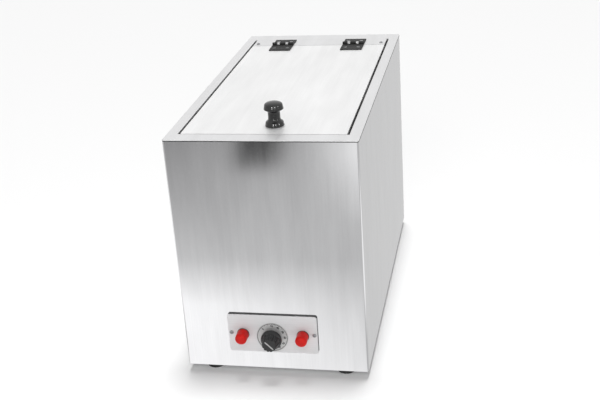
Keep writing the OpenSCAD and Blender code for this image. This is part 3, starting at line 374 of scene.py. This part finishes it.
def make_lamps():
    """Light from above and a little behind, a soft front light, and small lamps that only gloss shows."""
    for name, turn, power in GLINTS:
        angle = math.radians(turn)
        at = (GLINT_REACH * math.sin(angle), -GLINT_REACH * math.cos(angle), GLINT_HEIGHT)
        glint = area_lamp(name, GLINT_SIZE, power, at, GLINT_AIM)
        glint.visible_diffuse = False
    front = area_lamp("lamp_front", FRONT_LAMP_SIZE, FRONT_LAMP_POWER, FRONT_LAMP_AT, FRONT_LAMP_AIM)
    front.visible_glossy = False
    overhead = bpy.data.lights.new("lamp_top", "SUN")
    overhead.energy = TOP_LAMP_STRENGTH
    overhead.angle = TOP_LAMP_ANGLE
    lamp = aim_lamp(overhead, TOP_LAMP_FROM, (0.0, 0.0, 0.0))
    lamp.visible_glossy = False


def card_glow(name):
    """Material that glows with the tone of each point."""
    material = bpy.data.materials.new(name)
    material.use_nodes = True
    tree = material.node_tree
    tree.nodes.clear()
    out = tree.nodes.new("ShaderNodeOutputMaterial")
    glow = tree.nodes.new("ShaderNodeEmission")
    tone = tree.nodes.new("ShaderNodeAttribute")
    tone.attribute_name = "tone"
    tree.links.new(tone.outputs["Fac"], glow.inputs["Color"])
    tree.links.new(glow.outputs[0], out.inputs["Surface"])
    return material


def graded(stops):
    """Points in even steps from stop to stop."""
    points = [stops[0]]
    for start, end in zip(stops, stops[1:]):
        points += [start.lerp(end, k / CARD_STEPS) for k in range(1, CARD_STEPS + 1)]
    return points


def reflector(name, height, rows):
    """Card flat on the floor that only reflections show.

    All rows have the same number of points, and a point is (x, y, tone).
    """
    mesh = bmesh.new()
    tone_layer = mesh.verts.layers.float.new("tone")
    columns = [graded([Vector(point) for point in column]) for column in zip(*rows)]
    lines = []
    for stops in zip(*columns):
        line = []
        for x, y, tone in graded(stops):
            vert = mesh.verts.new((x, y, height))
            vert[tone_layer] = tone
            line.append(vert)
        lines.append(line)
    for near, far in zip(lines, lines[1:]):
        for k in range(1, len(near)):
            mesh.faces.new((near[k - 1], near[k], far[k], far[k - 1]))
    card = add_object(name, mesh_data(name, mesh))
    for ray in ("camera", "diffuse", "shadow", "transmission", "volume_scatter"):
        setattr(card, "visible_" + ray, False)
    card.data.materials.append(card_glow(name))


def make_front_cards():
    """What the front reflects: a pale near floor, a brighter right side and a dark patch far off."""
    reflector(
        "card_front",
        FRONT_CARD_H,
        [
            [(-0.2, -CARD_END_Y, CARD_GREY), (-0.16, -CARD_END_Y, 1.45), (0.16, -CARD_END_Y, 1.2)],
            [(-0.36, -0.52, CARD_GREY), (-0.25, -0.52, 1.5), (0.18, -0.5, 0.9)],
            [(-0.5, -0.7, CARD_GREY), (-0.36, -0.7, 0.8), (0.2, -0.7, 0.7)],
            [(-0.66, -1.0, CARD_GREY), (-0.5, -1.0, 0.5), (0.15, -1.0, 0.8)],
            [(-0.95, -1.7, CARD_GREY), (-0.7, -1.7, 0.2), (0.1, -1.7, 0.8)],
        ],
    )
    reflector(
        "card_bright",
        PATCH_CARD_H,
        [
            [(-0.02, -0.9, 0.7), (0.06, -0.9, 0.8), (0.2, -0.9, 0.9)],
            [(-0.14, -1.3, 0.6), (0.0, -1.3, 1.25), (0.2, -1.3, 1.25)],
            [(-0.2, -1.9, 0.6), (-0.05, -1.9, 1.25), (0.2, -1.9, 1.25)],
        ],
    )
    reflector(
        "card_dark",
        PATCH_CARD_H,
        [
            [(-0.31, -1.14, 0.56), (-0.26, -1.14, 0.58), (-0.2, -1.14, 0.62), (-0.14, -1.14, 0.65)],
            [(-0.33, -1.24, 0.53), (-0.27, -1.24, 0.08), (-0.22, -1.24, 0.14), (-0.16, -1.24, 0.63)],
            [(-0.36, -1.36, 0.5), (-0.3, -1.36, 0.02), (-0.24, -1.36, 0.1), (-0.17, -1.36, 0.62)],
            [(-0.5, -2.2, 0.4), (-0.42, -2.2, 0.05), (-0.34, -2.2, 0.1), (-0.25, -2.2, 0.6)],
        ],
    )


def make_side_cards():
    """Even grey beside and behind the bath."""
    for name, left, right, near in (
        ("card_left", -CARD_REACH, -CARD_SIDE_X, -CARD_REACH),
        ("card_right", CARD_SIDE_X, CARD_REACH, -CARD_REACH),
        ("card_rear", -CARD_SIDE_X, CARD_SIDE_X, CARD_END_Y),
    ):
        rows = [[(left, y, CARD_GREY), (right, y, CARD_GREY)] for y in (near, CARD_REACH)]
        reflector(name, AROUND_CARD_H, rows)


def make_edge_cards():
    """Bright patches to the left and right, which show as light lines in the casing's bends."""
    depths = ((-0.8, CARD_GREY), (-0.5, CARD_BRIGHT), (-0.1, CARD_BRIGHT), (0.2, CARD_GREY))
    for name, side in (("card_edge_left", -1), ("card_edge_right", 1)):
        rows = []
        for y, tone in depths:
            reaches = ((0.25, CARD_GREY), (0.42, tone), (0.8, tone), (1.1, CARD_GREY))
            rows.append([(side * x, y, shown) for x, shown in reaches])
        reflector(name, EDGE_CARD_H, rows)


# Finishes


def grain_noise(tree, scale, detail=3.0):
    """Noise in the object's own metres, stretched by a scale per axis."""
    place = tree.nodes.new("ShaderNodeTexCoord")
    stretch = tree.nodes.new("ShaderNodeMapping")
    stretch.inputs["Scale"].default_value = scale
    noise = tree.nodes.new("ShaderNodeTexNoise")
    noise.inputs["Scale"].default_value = 1.0
    noise.inputs["Detail"].default_value = detail
    tree.links.new(place.outputs["Object"], stretch.inputs["Vector"])
    tree.links.new(stretch.outputs["Vector"], noise.inputs["Vector"])
    return noise.outputs["Fac"]


def mixed(tree, first, second, share):
    """Two noise values in one, with the second's share."""
    mix = tree.nodes.new("ShaderNodeMix")
    mix.inputs["Factor"].default_value = share
    tree.links.new(first, mix.inputs["A"])
    tree.links.new(second, mix.inputs["B"])
    return mix.outputs["Result"]


def spread(tree, value, low, high, start=NOISE_LOW, end=NOISE_HIGH):
    """Maps a value between start and end to a range."""
    span = tree.nodes.new("ShaderNodeMapRange")
    span.inputs["From Min"].default_value = start
    span.inputs["From Max"].default_value = end
    span.inputs["To Min"].default_value = low
    span.inputs["To Max"].default_value = high
    tree.links.new(value, span.inputs["Value"])
    return span.outputs["Result"]


def tint(tree, value, dark, light, start=NOISE_LOW, end=NOISE_HIGH):
    """Maps a value between start and end to a colour between two."""
    ramp = tree.nodes.new("ShaderNodeValToRGB")
    ramp.color_ramp.elements[0].position = start
    ramp.color_ramp.elements[1].position = end
    ramp.color_ramp.elements[0].color = (*dark, 1.0)
    ramp.color_ramp.elements[1].color = (*light, 1.0)
    tree.links.new(value, ramp.inputs["Fac"])
    return ramp.outputs["Color"]


def along(tree, axis):
    """Place on an axis, with the object at rest."""
    place = tree.nodes.new("ShaderNodeTexCoord")
    axes = tree.nodes.new("ShaderNodeSeparateXYZ")
    tree.links.new(place.outputs["Object"], axes.inputs[0])
    return axes.outputs[axis]


def emboss(tree, shader, value, strength, distance):
    """Fine relief from a noise value."""
    bump = tree.nodes.new("ShaderNodeBump")
    bump.inputs["Strength"].default_value = strength
    bump.inputs["Distance"].default_value = distance
    tree.links.new(value, bump.inputs["Height"])
    tree.links.new(bump.outputs["Normal"], shader.inputs["Normal"])


def mottle(tree, shader, value, color, depth):
    """Colour that a noise value darkens by up to a share."""
    dark = [(1 - depth) * c for c in color]
    tree.links.new(tint(tree, value, dark, color), shader.inputs["Base Color"])


def vary_gloss(tree, shader, value, low, high):
    """Roughness that a noise value moves between two."""
    tree.links.new(spread(tree, value, low, high), shader.inputs["Roughness"])


def brushed_steel(name, color, grain, roughness, metallic=1.0):
    """Stainless sheet: fine brushed lines along its grain, long faint streaks and cloudy smears."""
    material, tree, shader = new_material(name)
    shader.inputs["Metallic"].default_value = metallic
    lines = grain_noise(tree, grain, detail=2.0)
    streaks = grain_noise(tree, [STREAK_SCALE * scale for scale in grain], detail=2.0)
    brushed = mixed(tree, lines, streaks, STREAK_SHARE)
    smears = grain_noise(tree, [min(scale, SMEAR_LIMIT) for scale in grain], detail=4.0)
    uneven = mixed(tree, brushed, smears, SMEAR_SHARE)
    mottle(tree, shader, uneven, color, depth=0.13)
    vary_gloss(tree, shader, uneven, low=0.8 * roughness, high=1.2 * roughness)
    emboss(tree, shader, lines, strength=0.04, distance=0.1 * MM)
    return material


def plain_finish(name, color, roughness, metallic=0.0, specular=0.5):
    """Solid colour with a little unevenness in tone, gloss and relief."""
    material, tree, shader = new_material(name)
    shader.inputs["Metallic"].default_value = metallic
    shader.inputs["Specular IOR Level"].default_value = specular
    grain = grain_noise(tree, (300.0, 300.0, 300.0))
    mottle(tree, shader, grain, color, depth=0.1)
    vary_gloss(tree, shader, grain, low=0.85 * roughness, high=1.15 * roughness)
    emboss(tree, shader, grain, strength=0.05, distance=0.2 * MM)
    return material


def speckled_enamel_with_painted_highlight(name, color, bare, roughness):
    """Enamel with fine specks of metal, and bare metal painted on the top of every second knuckle as a
    painted highlight of the barrel.
    """
    material, tree, shader = new_material(name)
    grain = grain_noise(tree, (500.0, 500.0, 500.0), detail=4.0)
    specks = spread(tree, grain, low=0.0, high=0.4, start=0.62, end=0.74)
    # Painted highlight: bare metal on the top of every second knuckle stands in for the barrel's
    # highlights
    from_middle = combined(tree, "SUBTRACT", combined(tree, "ABSOLUTE", along(tree, "X")), HINGE_X)
    wave = combined(tree, "COSINE", combined(tree, "MULTIPLY", from_middle, math.pi / KNUCKLE_LEN))
    highlight_knuckles = spread(tree, wave, low=1.0, high=0.0, start=-0.9, end=-0.3)
    raised = spread(tree, along(tree, "Z"), low=0.0, high=1.0, start=PAINTED_HIGHLIGHT_START, end=PAINTED_HIGHLIGHT_START + PAINTED_HIGHLIGHT_FADE)
    painted_highlight = combined(tree, "MULTIPLY", highlight_knuckles, raised)
    shown = combined(tree, "MAXIMUM", specks, painted_highlight)
    gloss = spread(tree, painted_highlight, low=roughness, high=PAINTED_HIGHLIGHT_ROUGH, start=0.0, end=1.0)
    tree.links.new(tint(tree, shown, color, bare, start=0.0, end=1.0), shader.inputs["Base Color"])
    tree.links.new(painted_highlight, shader.inputs["Metallic"])
    tree.links.new(gloss, shader.inputs["Roughness"])
    shader.inputs["Specular IOR Level"].default_value = 0.2
    emboss(tree, shader, grain, strength=0.1, distance=0.1 * MM)
    return material


def wool_finish(name, color):
    """Matted mineral wool with fibres both ways."""
    material, tree, shader = new_material(name)
    sideways = grain_noise(tree, (60.0, 900.0, 300.0), detail=4.0)
    lengthways = grain_noise(tree, (900.0, 60.0, 400.0), detail=4.0)
    fibres = mixed(tree, sideways, lengthways, share=0.5)
    mottle(tree, shader, fibres, color, depth=0.45)
    shader.inputs["Roughness"].default_value = 0.95
    emboss(tree, shader, fibres, strength=0.8, distance=1.0 * MM)
    return material


def lens_finish(name, color):
    """Cloudy plastic that light sinks into a little."""
    material, tree, shader = new_material(name)
    cloud = grain_noise(tree, (150.0, 150.0, 150.0))
    mottle(tree, shader, cloud, color, depth=0.25)
    vary_gloss(tree, shader, cloud, low=0.3, high=0.4)
    shader.inputs["Specular IOR Level"].default_value = 0.15
    shader.inputs["Subsurface Weight"].default_value = 0.5
    shader.inputs["Subsurface Radius"].default_value = (1.0, 0.2, 0.1)
    shader.inputs["Subsurface Scale"].default_value = 5 * MM
    return material


def printed_silver(name, color):
    """Satin aluminium under a clear print."""
    material, tree, shader = new_material(name)
    grain = grain_noise(tree, (20.0, 1500.0, 1500.0), detail=2.0)
    mottle(tree, shader, grain, color, depth=0.07)
    shader.inputs["Metallic"].default_value = 0.15
    vary_gloss(tree, shader, grain, low=0.6, high=0.7)
    emboss(tree, shader, grain, strength=0.03, distance=0.1 * MM)
    return material


FRAME_STEEL = brushed_steel("frame_steel", (0.8, 0.8, 0.805), LENGTHWISE, roughness=0.5, metallic=0.75)
FINISHES = {
    "casing_steel": brushed_steel("casing_steel", (0.69, 0.69, 0.7), UPRIGHT, roughness=0.1),
    "top_steel": brushed_steel("top_steel", (0.92, 0.92, 0.92), LENGTHWISE, roughness=0.5, metallic=0.7),
    "tank_steel": brushed_steel("tank_steel", (0.75, 0.76, 0.77), UPRIGHT, roughness=0.26),
    "fastener_steel": plain_finish("fastener_steel", (0.32, 0.32, 0.33), roughness=0.3, metallic=1.0),
    "foot_rubber": plain_finish("foot_rubber", (0.03, 0.03, 0.03), roughness=0.75),
    "seal_rubber": plain_finish("seal_rubber", (0.015, 0.015, 0.015), roughness=0.7, specular=0.1),
    "knob_black": plain_finish("knob_black", (0.012, 0.012, 0.012), roughness=0.1),
    "grip_black": plain_finish("grip_black", (0.02, 0.02, 0.021), roughness=0.38, specular=0.35),
    "hinge_black": speckled_enamel_with_painted_highlight("hinge_black", (0.025, 0.025, 0.025), (0.55, 0.55, 0.55), roughness=0.62),
    "wool": wool_finish("wool", (0.72, 0.66, 0.42)),
    "heater_sheath": plain_finish("heater_sheath", (0.16, 0.15, 0.15), roughness=0.5, metallic=0.8),
    "copper": plain_finish("copper", (0.72, 0.4, 0.26), roughness=0.3, metallic=1.0),
    "board_black": plain_finish("board_black", (0.04, 0.04, 0.04), roughness=0.55),
    "fascia_silver": printed_silver("fascia_silver", (0.76, 0.76, 0.77)),
    "dial_grey": plain_finish("dial_grey", (0.6, 0.6, 0.6), roughness=0.5, metallic=0.2),
    "switch_housing": plain_finish("switch_housing", (0.8, 0.78, 0.72), roughness=0.5),
    "pointer_white": plain_finish("pointer_white", (0.5, 0.5, 0.5), roughness=0.45),
    "lens_red": lens_finish("lens_red", (0.74, 0.012, 0.008)),
    "terminal_brass": plain_finish("terminal_brass", (0.78, 0.6, 0.28), roughness=0.3, metallic=1.0),
    "gland_black": plain_finish("gland_black", (0.03, 0.03, 0.03), roughness=0.5),
    "wire_red": plain_finish("wire_red", (0.4, 0.06, 0.04), roughness=0.45),
}


def paint(obj, slot):
    """Gives an object the finish of a slot."""
    obj.data.materials.clear()
    obj.data.materials.append(FINISHES[slot])


def paint_solids():
    """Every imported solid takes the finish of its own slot; the frame and strip get a greyer steel."""
    for node, obj in NODES.items():
        paint(obj, SLOT_OF[node])
    for node in ("top_frame", "hinge_strip"):
        NODES[node].data.materials[0] = FRAME_STEEL


def dress(piece, body, slot, *nodes):
    """Paints a piece and lets it ride on a body, in place of the named solids."""
    paint(piece, slot)
    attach(piece, body)
    if nodes:
        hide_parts(*nodes)


# Shapes


def finished(name, mesh):
    """Object of a bmesh, smooth but for its creases."""
    bmesh.ops.recalc_face_normals(mesh, faces=mesh.faces)
    data = mesh_data(name, mesh)
    data.shade_smooth()
    data.set_sharp_from_angle(angle=CREASE)
    return add_object(name, data)


def welded(node):
    """A solid's mesh, joined along its edges."""
    mesh = bmesh.new()
    mesh.from_mesh(NODES[node].data)
    bmesh.ops.remove_doubles(mesh, verts=mesh.verts, dist=WELD_GAP)
    return mesh


def solid_boxes(node):
    """Lowest and highest corner of each separate solid of a node."""
    mesh = welded(node)
    boxes = []
    seen = set()
    for first in mesh.verts:
        if first in seen:
            continue
        seen.add(first)
        group = [first]
        for vert in group:
            for edge in vert.link_edges:
                other = edge.other_vert(vert)
                if other not in seen:
                    seen.add(other)
                    group.append(other)
        low = Vector(min(v.co[axis] for v in group) for axis in range(3))
        high = Vector(max(v.co[axis] for v in group) for axis in range(3))
        boxes.append((low, high))
    mesh.free()
    return boxes


def between(start, end, share):
    """Value at a share of the way from start to end."""
    return start + (end - start) * share


def eased(outline):
    """Points of an outline of (radius, height, rounding), with each corner rounded by its own size."""
    points = []
    for i, (radius, height, size) in enumerate(outline):
        corner = Vector((radius, height))
        if size == 0:
            points.append(corner)
            continue
        before = Vector(outline[i - 1][:2]) - corner
        after = Vector(outline[i + 1][:2]) - corner
        start = corner + before.normalized() * size
        end = corner + after.normalized() * size
        for k in range(CORNER_STEPS + 1):
            t = k / CORNER_STEPS
            points.append(start * (1 - t) ** 2 + corner * 2 * t * (1 - t) + end * t ** 2)
    return points


def lathe(points, steps, draw_in=None):
    """Turned shape about Z through (radius, height) points.

    draw_in gives the depth to take off at a radius, a height and an angle.
    """
    mesh = bmesh.new()
    rings = []
    for radius, height in points:
        if radius == 0:
            rings.append([mesh.verts.new((0.0, 0.0, height))])
            continue
        ring = []
        for k in range(steps):
            angle = 2 * math.pi * k / steps
            r = radius - draw_in(radius, height, angle) if draw_in else radius
            ring.append(mesh.verts.new((r * math.cos(angle), r * math.sin(angle), height)))
        rings.append(ring)
    for low, high in zip(rings, rings[1:]):
        for k in range(steps):
            corners = [low[k % len(low)], low[(k + 1) % len(low)]]
            corners += [high[(k + 1) % len(high)], high[k % len(high)]]
            mesh.faces.new(tuple(dict.fromkeys(corners)))
    return mesh


def arc(radius_at, height_at, steps):
    """Points of a curve from its radius and height at an angle from 0 to 90 degrees, without rounding."""
    angles = [math.pi / 2 * k / steps for k in range(1, steps)]
    return [(radius_at(a), height_at(a), 0) for a in angles]


def add_data(mesh, data):
    """Adds mesh data to a mesh and removes the data."""
    mesh.from_mesh(data)
    bpy.data.meshes.remove(data)


def join(mesh, part):
    """Moves a part into a mesh."""
    add_data(mesh, mesh_data("part", part))


def rounded_loop(low, high, radius, grow):
    """Points of a rounded rectangle seen from above, grown outwards by a length."""
    points = []
    corners = ((high.x, high.y), (low.x, high.y), (low.x, low.y), (high.x, low.y))
    centre = (low + high) / 2
    reach = radius + grow
    for i, (x, y) in enumerate(corners):
        pivot_x = x - math.copysign(radius, x - centre.x)
        pivot_y = y - math.copysign(radius, y - centre.y)
        for k in range(CORNER_STEPS + 1):
            angle = math.pi / 2 * (i + k / CORNER_STEPS)
            points.append((pivot_x + reach * math.cos(angle), pivot_y + reach * math.sin(angle)))
    return points


# Pieces


def make_painted_joint_shade():
    """Thin dark bead in the joint where the top frame lies on the walls, a painted shade that stands in
    for the shadow gap there.
    """
    low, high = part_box("top_frame")
    upper = high.z - SHEET
    lower = upper - JOINT_H
    section = (
        (-JOINT_SINK, lower),
        (JOINT_PROUD, lower),
        (JOINT_PROUD, upper),
        (-JOINT_SINK, upper),
    )
    mesh = bmesh.new()
    rings = []
    for grow, height in section:
        loop = rounded_loop(low, high, CORNER_R, grow)
        rings.append([mesh.verts.new((x, y, height)) for x, y in loop])
    for near, far in zip(rings, rings[1:] + rings[:1]):
        for k in range(len(near)):
            mesh.faces.new((near[k - 1], near[k], far[k], far[k - 1]))
    # Painted shade: the dark bead sits where the joint's shadow gap would fall
    dress(finished("painted_joint_shade", mesh), "cabinet", "seal_rubber")


def make_lid_knob():
    """Glossy turned knob with a drawn-in waist and a domed head."""
    low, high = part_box("lid_knob")
    centre = (low + high) / 2
    head_r = (high.x - low.x) / 2
    tall = high.z - low.z
    shoulder = tall - KNOB_DOME_H
    brim = shoulder - KNOB_RIM_H
    foot_r = KNOB_FOOT_R - KNOB_DRAFT * KNOB_FOOT_H
    shoulder_r = head_r - KNOB_DRAFT * KNOB_RIM_H
    outline = [(0, 0, 0), (KNOB_FOOT_R, 0, KNOB_FOOT_EASE), (foot_r, KNOB_FOOT_H, KNOB_STEP_EASE)]
    for k in range(2, KNOB_WAIST_ROWS - 1):
        t = k / KNOB_WAIST_ROWS
        end_r = foot_r if t < 0.5 else head_r
        flare = abs(2 * t - 1) ** KNOB_FLARE
        outline.append((between(KNOB_WAIST_R, end_r, flare), between(KNOB_FOOT_H, brim, t), 0))
    outline.append((head_r, brim, KNOB_BRIM_EASE))
    outline.append((shoulder_r, shoulder, 0))
    outline += arc(
        lambda a: shoulder_r * math.cos(a),
        lambda a: shoulder + KNOB_DOME_H * math.sin(a),
        KNOB_DOME_ROWS,
    )
    outline.append((0, tall, 0))
    mesh = lathe(eased(outline), KNOB_STEPS)
    mesh.transform(Matrix.Translation((centre.x, centre.y, low.z)))
    dress(finished("lid_knob_turned", mesh), "lid", "knob_black", "lid_knob")


def make_thermostat_knob():
    """Tapered knob with a skirt and round flutes."""
    low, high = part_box("thermostat_knob")
    centre = (low + high) / 2
    skirt_r = (high.x - low.x) / 2
    tall = high.y - low.y
    grip_h = SKIRT_H + SKIRT_SLOPE_H
    bore_h = tall - GRIP_FACE_T
    outline = [
        (0, bore_h, 0),
        (SHAFT_R, bore_h, 0),
        (SHAFT_R, HOLLOW_H, 0),
        (HOLLOW_R, HOLLOW_H, 0),
        (HOLLOW_R, 0, 0),
        (skirt_r, 0, SKIRT_FOOT_EASE),
        (skirt_r, SKIRT_H, SKIRT_TOP_EASE),
        (GRIP_FOOT_R, grip_h, GRIP_FOOT_EASE),
    ]
    for k in range(1, GRIP_ROWS):
        t = k / GRIP_ROWS
        outline.append((between(GRIP_FOOT_R, GRIP_FACE_R, t), between(grip_h, tall, t), 0))
    outline += [(GRIP_FACE_R, tall, GRIP_FACE_EASE), (GRIP_RING_R, tall, 0), (0, tall, 0)]

    def flute(radius, height, angle):
        """Depth of the flutes, which fade in above the skirt and stop at the face."""
        if height < grip_h or radius < FLUTE_STOP_R:
            return 0.0
        fade = min(1.0, (height - grip_h) / FLUTE_FADE_H)
        return FLUTE_DEPTH * fade * max(0.0, math.cos(FLUTES * angle)) ** FLUTE_FULL

    mesh = lathe(eased(outline), FLUTES * FLUTE_STEPS, flute)
    mesh.transform(Matrix.Translation((centre.x, high.y, centre.z)) @ FRONTWARD)
    dress(finished("thermostat_knob_fluted", mesh), "thermostat_control", "grip_black", "thermostat_knob")


def make_lenses():
    """Long red lamp lenses with a full, rounded end."""
    mesh = bmesh.new()
    for low, high in solid_boxes("lamp_lenses"):
        radius = (high.x - low.x) / 2
        tall = high.y - low.y
        side = tall - LENS_ROUND
        outline = [(0, 0, 0), (radius, 0, LENS_FOOT_EASE), (radius, side, 0)]
        outline += arc(
            lambda a: radius * math.cos(a) ** LENS_FULL,
            lambda a: side + LENS_ROUND * math.sin(a),
            LENS_ROWS,
        )
        outline.append((0, tall, 0))
        lens = lathe(eased(outline), LENS_STEPS)
        centre = (low + high) / 2
        lens.transform(Matrix.Translation((centre.x, high.y, centre.z)) @ FRONTWARD)
        join(mesh, lens)
    dress(finished("lamp_lenses_moulded", mesh), "cabinet", "lens_red", "lamp_lenses")


def make_gland():
    """Cable gland with a six-sided collar and a ribbed dome nut."""
    low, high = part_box("cord_gland")
    centre = (low + high) / 2
    face_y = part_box("rear_panel")[1].y
    reach = high.y - face_y
    back = low.y - face_y
    corner_r = GLAND_AF / 2 / math.cos(math.pi / GLAND_SIDES)
    cap_r = GLAND_AF / 2 - GLAND_CAP_INSET
    tip_r = GLAND_BORE_R + GLAND_TIP_W
    dome_h = reach - GLAND_DOME_H
    collar = [
        (GLAND_BORE_R, 0, 0),
        (corner_r, 0, 0),
        (corner_r, GLAND_COLLAR_H, GLAND_EASE),
        (GLAND_BORE_R, GLAND_COLLAR_H, 0),
    ]
    nut = [
        (GLAND_BORE_R, back, 0),
        (GLAND_SHANK_R, back, GLAND_EASE),
        (GLAND_SHANK_R, 0, 0),
        (cap_r, GLAND_COLLAR_H, 0),
        (cap_r, GLAND_COLLAR_H + GLAND_RIB_START, 0),
        (cap_r, dome_h, 0),
    ]
    nut += arc(
        lambda a: between(tip_r, cap_r, math.cos(a)),
        lambda a: between(dome_h, reach, math.sin(a)),
        GLAND_DOME_ROWS,
    )
    nut += [(tip_r, reach, GLAND_TIP_EASE), (GLAND_BORE_R, reach, 0), (GLAND_BORE_R, back, 0)]

    def rib(radius, height, angle):
        """Depth between the grip ribs of the nut."""
        if not GLAND_COLLAR_H < height <= dome_h:
            return 0.0
        return GLAND_RIB_DEPTH * (0.5 - 0.5 * math.cos(GLAND_RIBS * angle))

    mesh = lathe(eased(nut), GLAND_RIBS * GLAND_RIB_STEPS, rib)
    join(mesh, lathe(eased(collar), GLAND_SIDES))
    mesh.transform(Matrix.Translation((centre.x, face_y, centre.z)) @ REARWARD)
    dress(finished("cord_gland_ribbed", mesh), "cabinet", "gland_black", "cord_gland")


def cross_cutter(mesh, place, head_d):
    """Adds the tapered cross of a screwdriver's tip, pointing down local Z."""
    span = RECESS_SPAN * head_d / 2
    slot = RECESS_SLOT * head_d / 2
    depth = RECESS_DEPTH * head_d
    for turn in (0, 90):
        spin = Matrix.Rotation(math.radians(turn), 4, "Z")
        for vert in bmesh.ops.create_cube(mesh, size=2.0)["verts"]:
            x, y, z = vert.co
            taper = RECESS_TOP if z > 0 else RECESS_BOTTOM
            vert.co = place @ spin @ Vector((x * span * taper, y * slot, z * depth))


def evaluated_mesh(obj):
    """New mesh of an object with its modifiers, or of a text."""
    bpy.context.view_layer.update()
    graph = bpy.context.evaluated_depsgraph_get()
    return bpy.data.meshes.new_from_object(obj.evaluated_get(graph))


def make_screws(node, outward, body):
    """A group of screws with a cross recess in each head; outward is the way the heads face."""
    cutter = bmesh.new()
    out = Vector(outward)
    turn = out.to_track_quat("Z", "Y").to_matrix().to_4x4()
    for low, high in solid_boxes(node):
        widths = [high[i] - low[i] for i in range(3) if out[i] == 0]
        top = (low + high) / 2 + out * abs(out.dot(high - low)) / 2
        cross_cutter(cutter, Matrix.Translation(top) @ turn, widths[0])
    tool = finished("recess_tool", cutter)
    screws = finished(node + "_recessed", welded(node))
    cut = screws.modifiers.new("recess", "BOOLEAN")
    cut.operation = "DIFFERENCE"
    cut.solver = "EXACT"
    cut.use_self = True
    cut.object = tool
    done = evaluated_mesh(screws)
    screws.modifiers.clear()
    screws.data = done
    bpy.data.objects.remove(tool)
    dress(screws, body, SLOT_OF[node], node)


def number_mesh(text):
    """Flat mesh of a plain number in the built-in font, centred on the origin."""
    curve = bpy.data.curves.new("number", "FONT")
    curve.body = text
    curve.size = NUMBER_H
    curve.align_x = "CENTER"
    curve.align_y = "CENTER"
    curve.extrude = PRINT_T / 2
    curve.offset = NUMBER_BOLD
    holder = add_object("number", curve)
    mesh = evaluated_mesh(holder)
    bpy.data.objects.remove(holder)
    return mesh


def add_bar(mesh, width, length, place):
    """Adds a thin printed bar to a mesh."""
    bar = bmesh.ops.create_cube(mesh, size=1.0)
    shape = Matrix.Diagonal((width, length, PRINT_T, 1.0))
    bmesh.ops.transform(mesh, matrix=place @ shape, verts=bar["verts"])


def on_dial(angle, radius):
    """Place on the dial, turned so that its own Y points outwards."""
    return Matrix.Rotation(math.radians(-angle), 4, "Z") @ Matrix.Translation((0.0, radius, 0.0))


def make_dial_marks():
    """Printed scale of ticks and plain numbers, and a thin dark ring inside the rim that is painted shade
    standing in for the rim's shadow.
    """
    low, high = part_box("dial_plate")
    centre = (low + high) / 2
    rim_r = (high.x - low.x) / 2
    tick_r = rim_r - TICK_INSET
    rim_shade_r = rim_r - RIM_SHADE_INSET
    number_r = tick_r - TICK_LEN - NUMBER_H / 2
    face_y = low.y + DIAL_RIM_H
    mesh = bmesh.new()
    for angle in range(SCALE_START, SCALE_END + 1, TICK_STEP):
        add_bar(mesh, TICK_W, TICK_LEN, on_dial(angle, tick_r - TICK_LEN / 2))
    # Painted shade: a dark ring inside the rim in place of the rim's shadow
    line = [(rim_shade_r - RIM_SHADE_W, 0), (rim_shade_r, 0), (rim_shade_r, PRINT_T), (rim_shade_r - RIM_SHADE_W, PRINT_T)]
    join(mesh, lathe([*line, line[0]], RIM_SHADE_STEPS))
    labels = [(SCALE_START, "0")]
    labels += [(NUMBER_TURN * i, str(NUMBER_FIRST + NUMBER_STEP * i)) for i in range(NUMBER_COUNT)]
    for angle, text in labels:
        number = number_mesh(text)
        number.transform(on_dial(angle, number_r))
        add_data(mesh, number)
    mesh.transform(Matrix.Translation((centre.x, face_y - PRINT_T / 2, centre.z)) @ FRONTWARD)
    dress(finished("dial_marks", mesh), "cabinet", "board_black")


def soften(node, width):
    """Rounds the crisp edges of a solid a little, so that they catch the light."""
    solid = NODES[node]
    weld = solid.modifiers.new("weld", "WELD")
    weld.merge_threshold = WELD_GAP
    bevel = solid.modifiers.new("bevel", "BEVEL")
    bevel.width = width
    bevel.segments = SOFT_STEPS
    bevel.limit_method = "ANGLE"
    bevel.angle_limit = CREASE
    solid.modifiers.new("normals", "WEIGHTED_NORMAL")


def soften_edges():
    """Edges of folded sheet, of the panel, of the hinges and of the feet."""
    for width, nodes in SOFTENED.items():
        for node in nodes:
            soften(node, width)


def make_all_screws():
    """Every group of screws with recessed heads."""
    for node, outward, body in SCREWS:
        make_screws(node, outward, body)


def set_view():
    """Plain colours, as written."""
    bpy.context.scene.view_settings.view_transform = "Standard"


# The scene

make_camera()
make_world()
make_floor()
make_lamps()
make_front_cards()
make_side_cards()
make_edge_cards()
paint_solids()
soften_edges()
make_painted_joint_shade()
make_lid_knob()
make_thermostat_knob()
make_lenses()
make_gland()
make_all_screws()
make_dial_marks()
set_view()
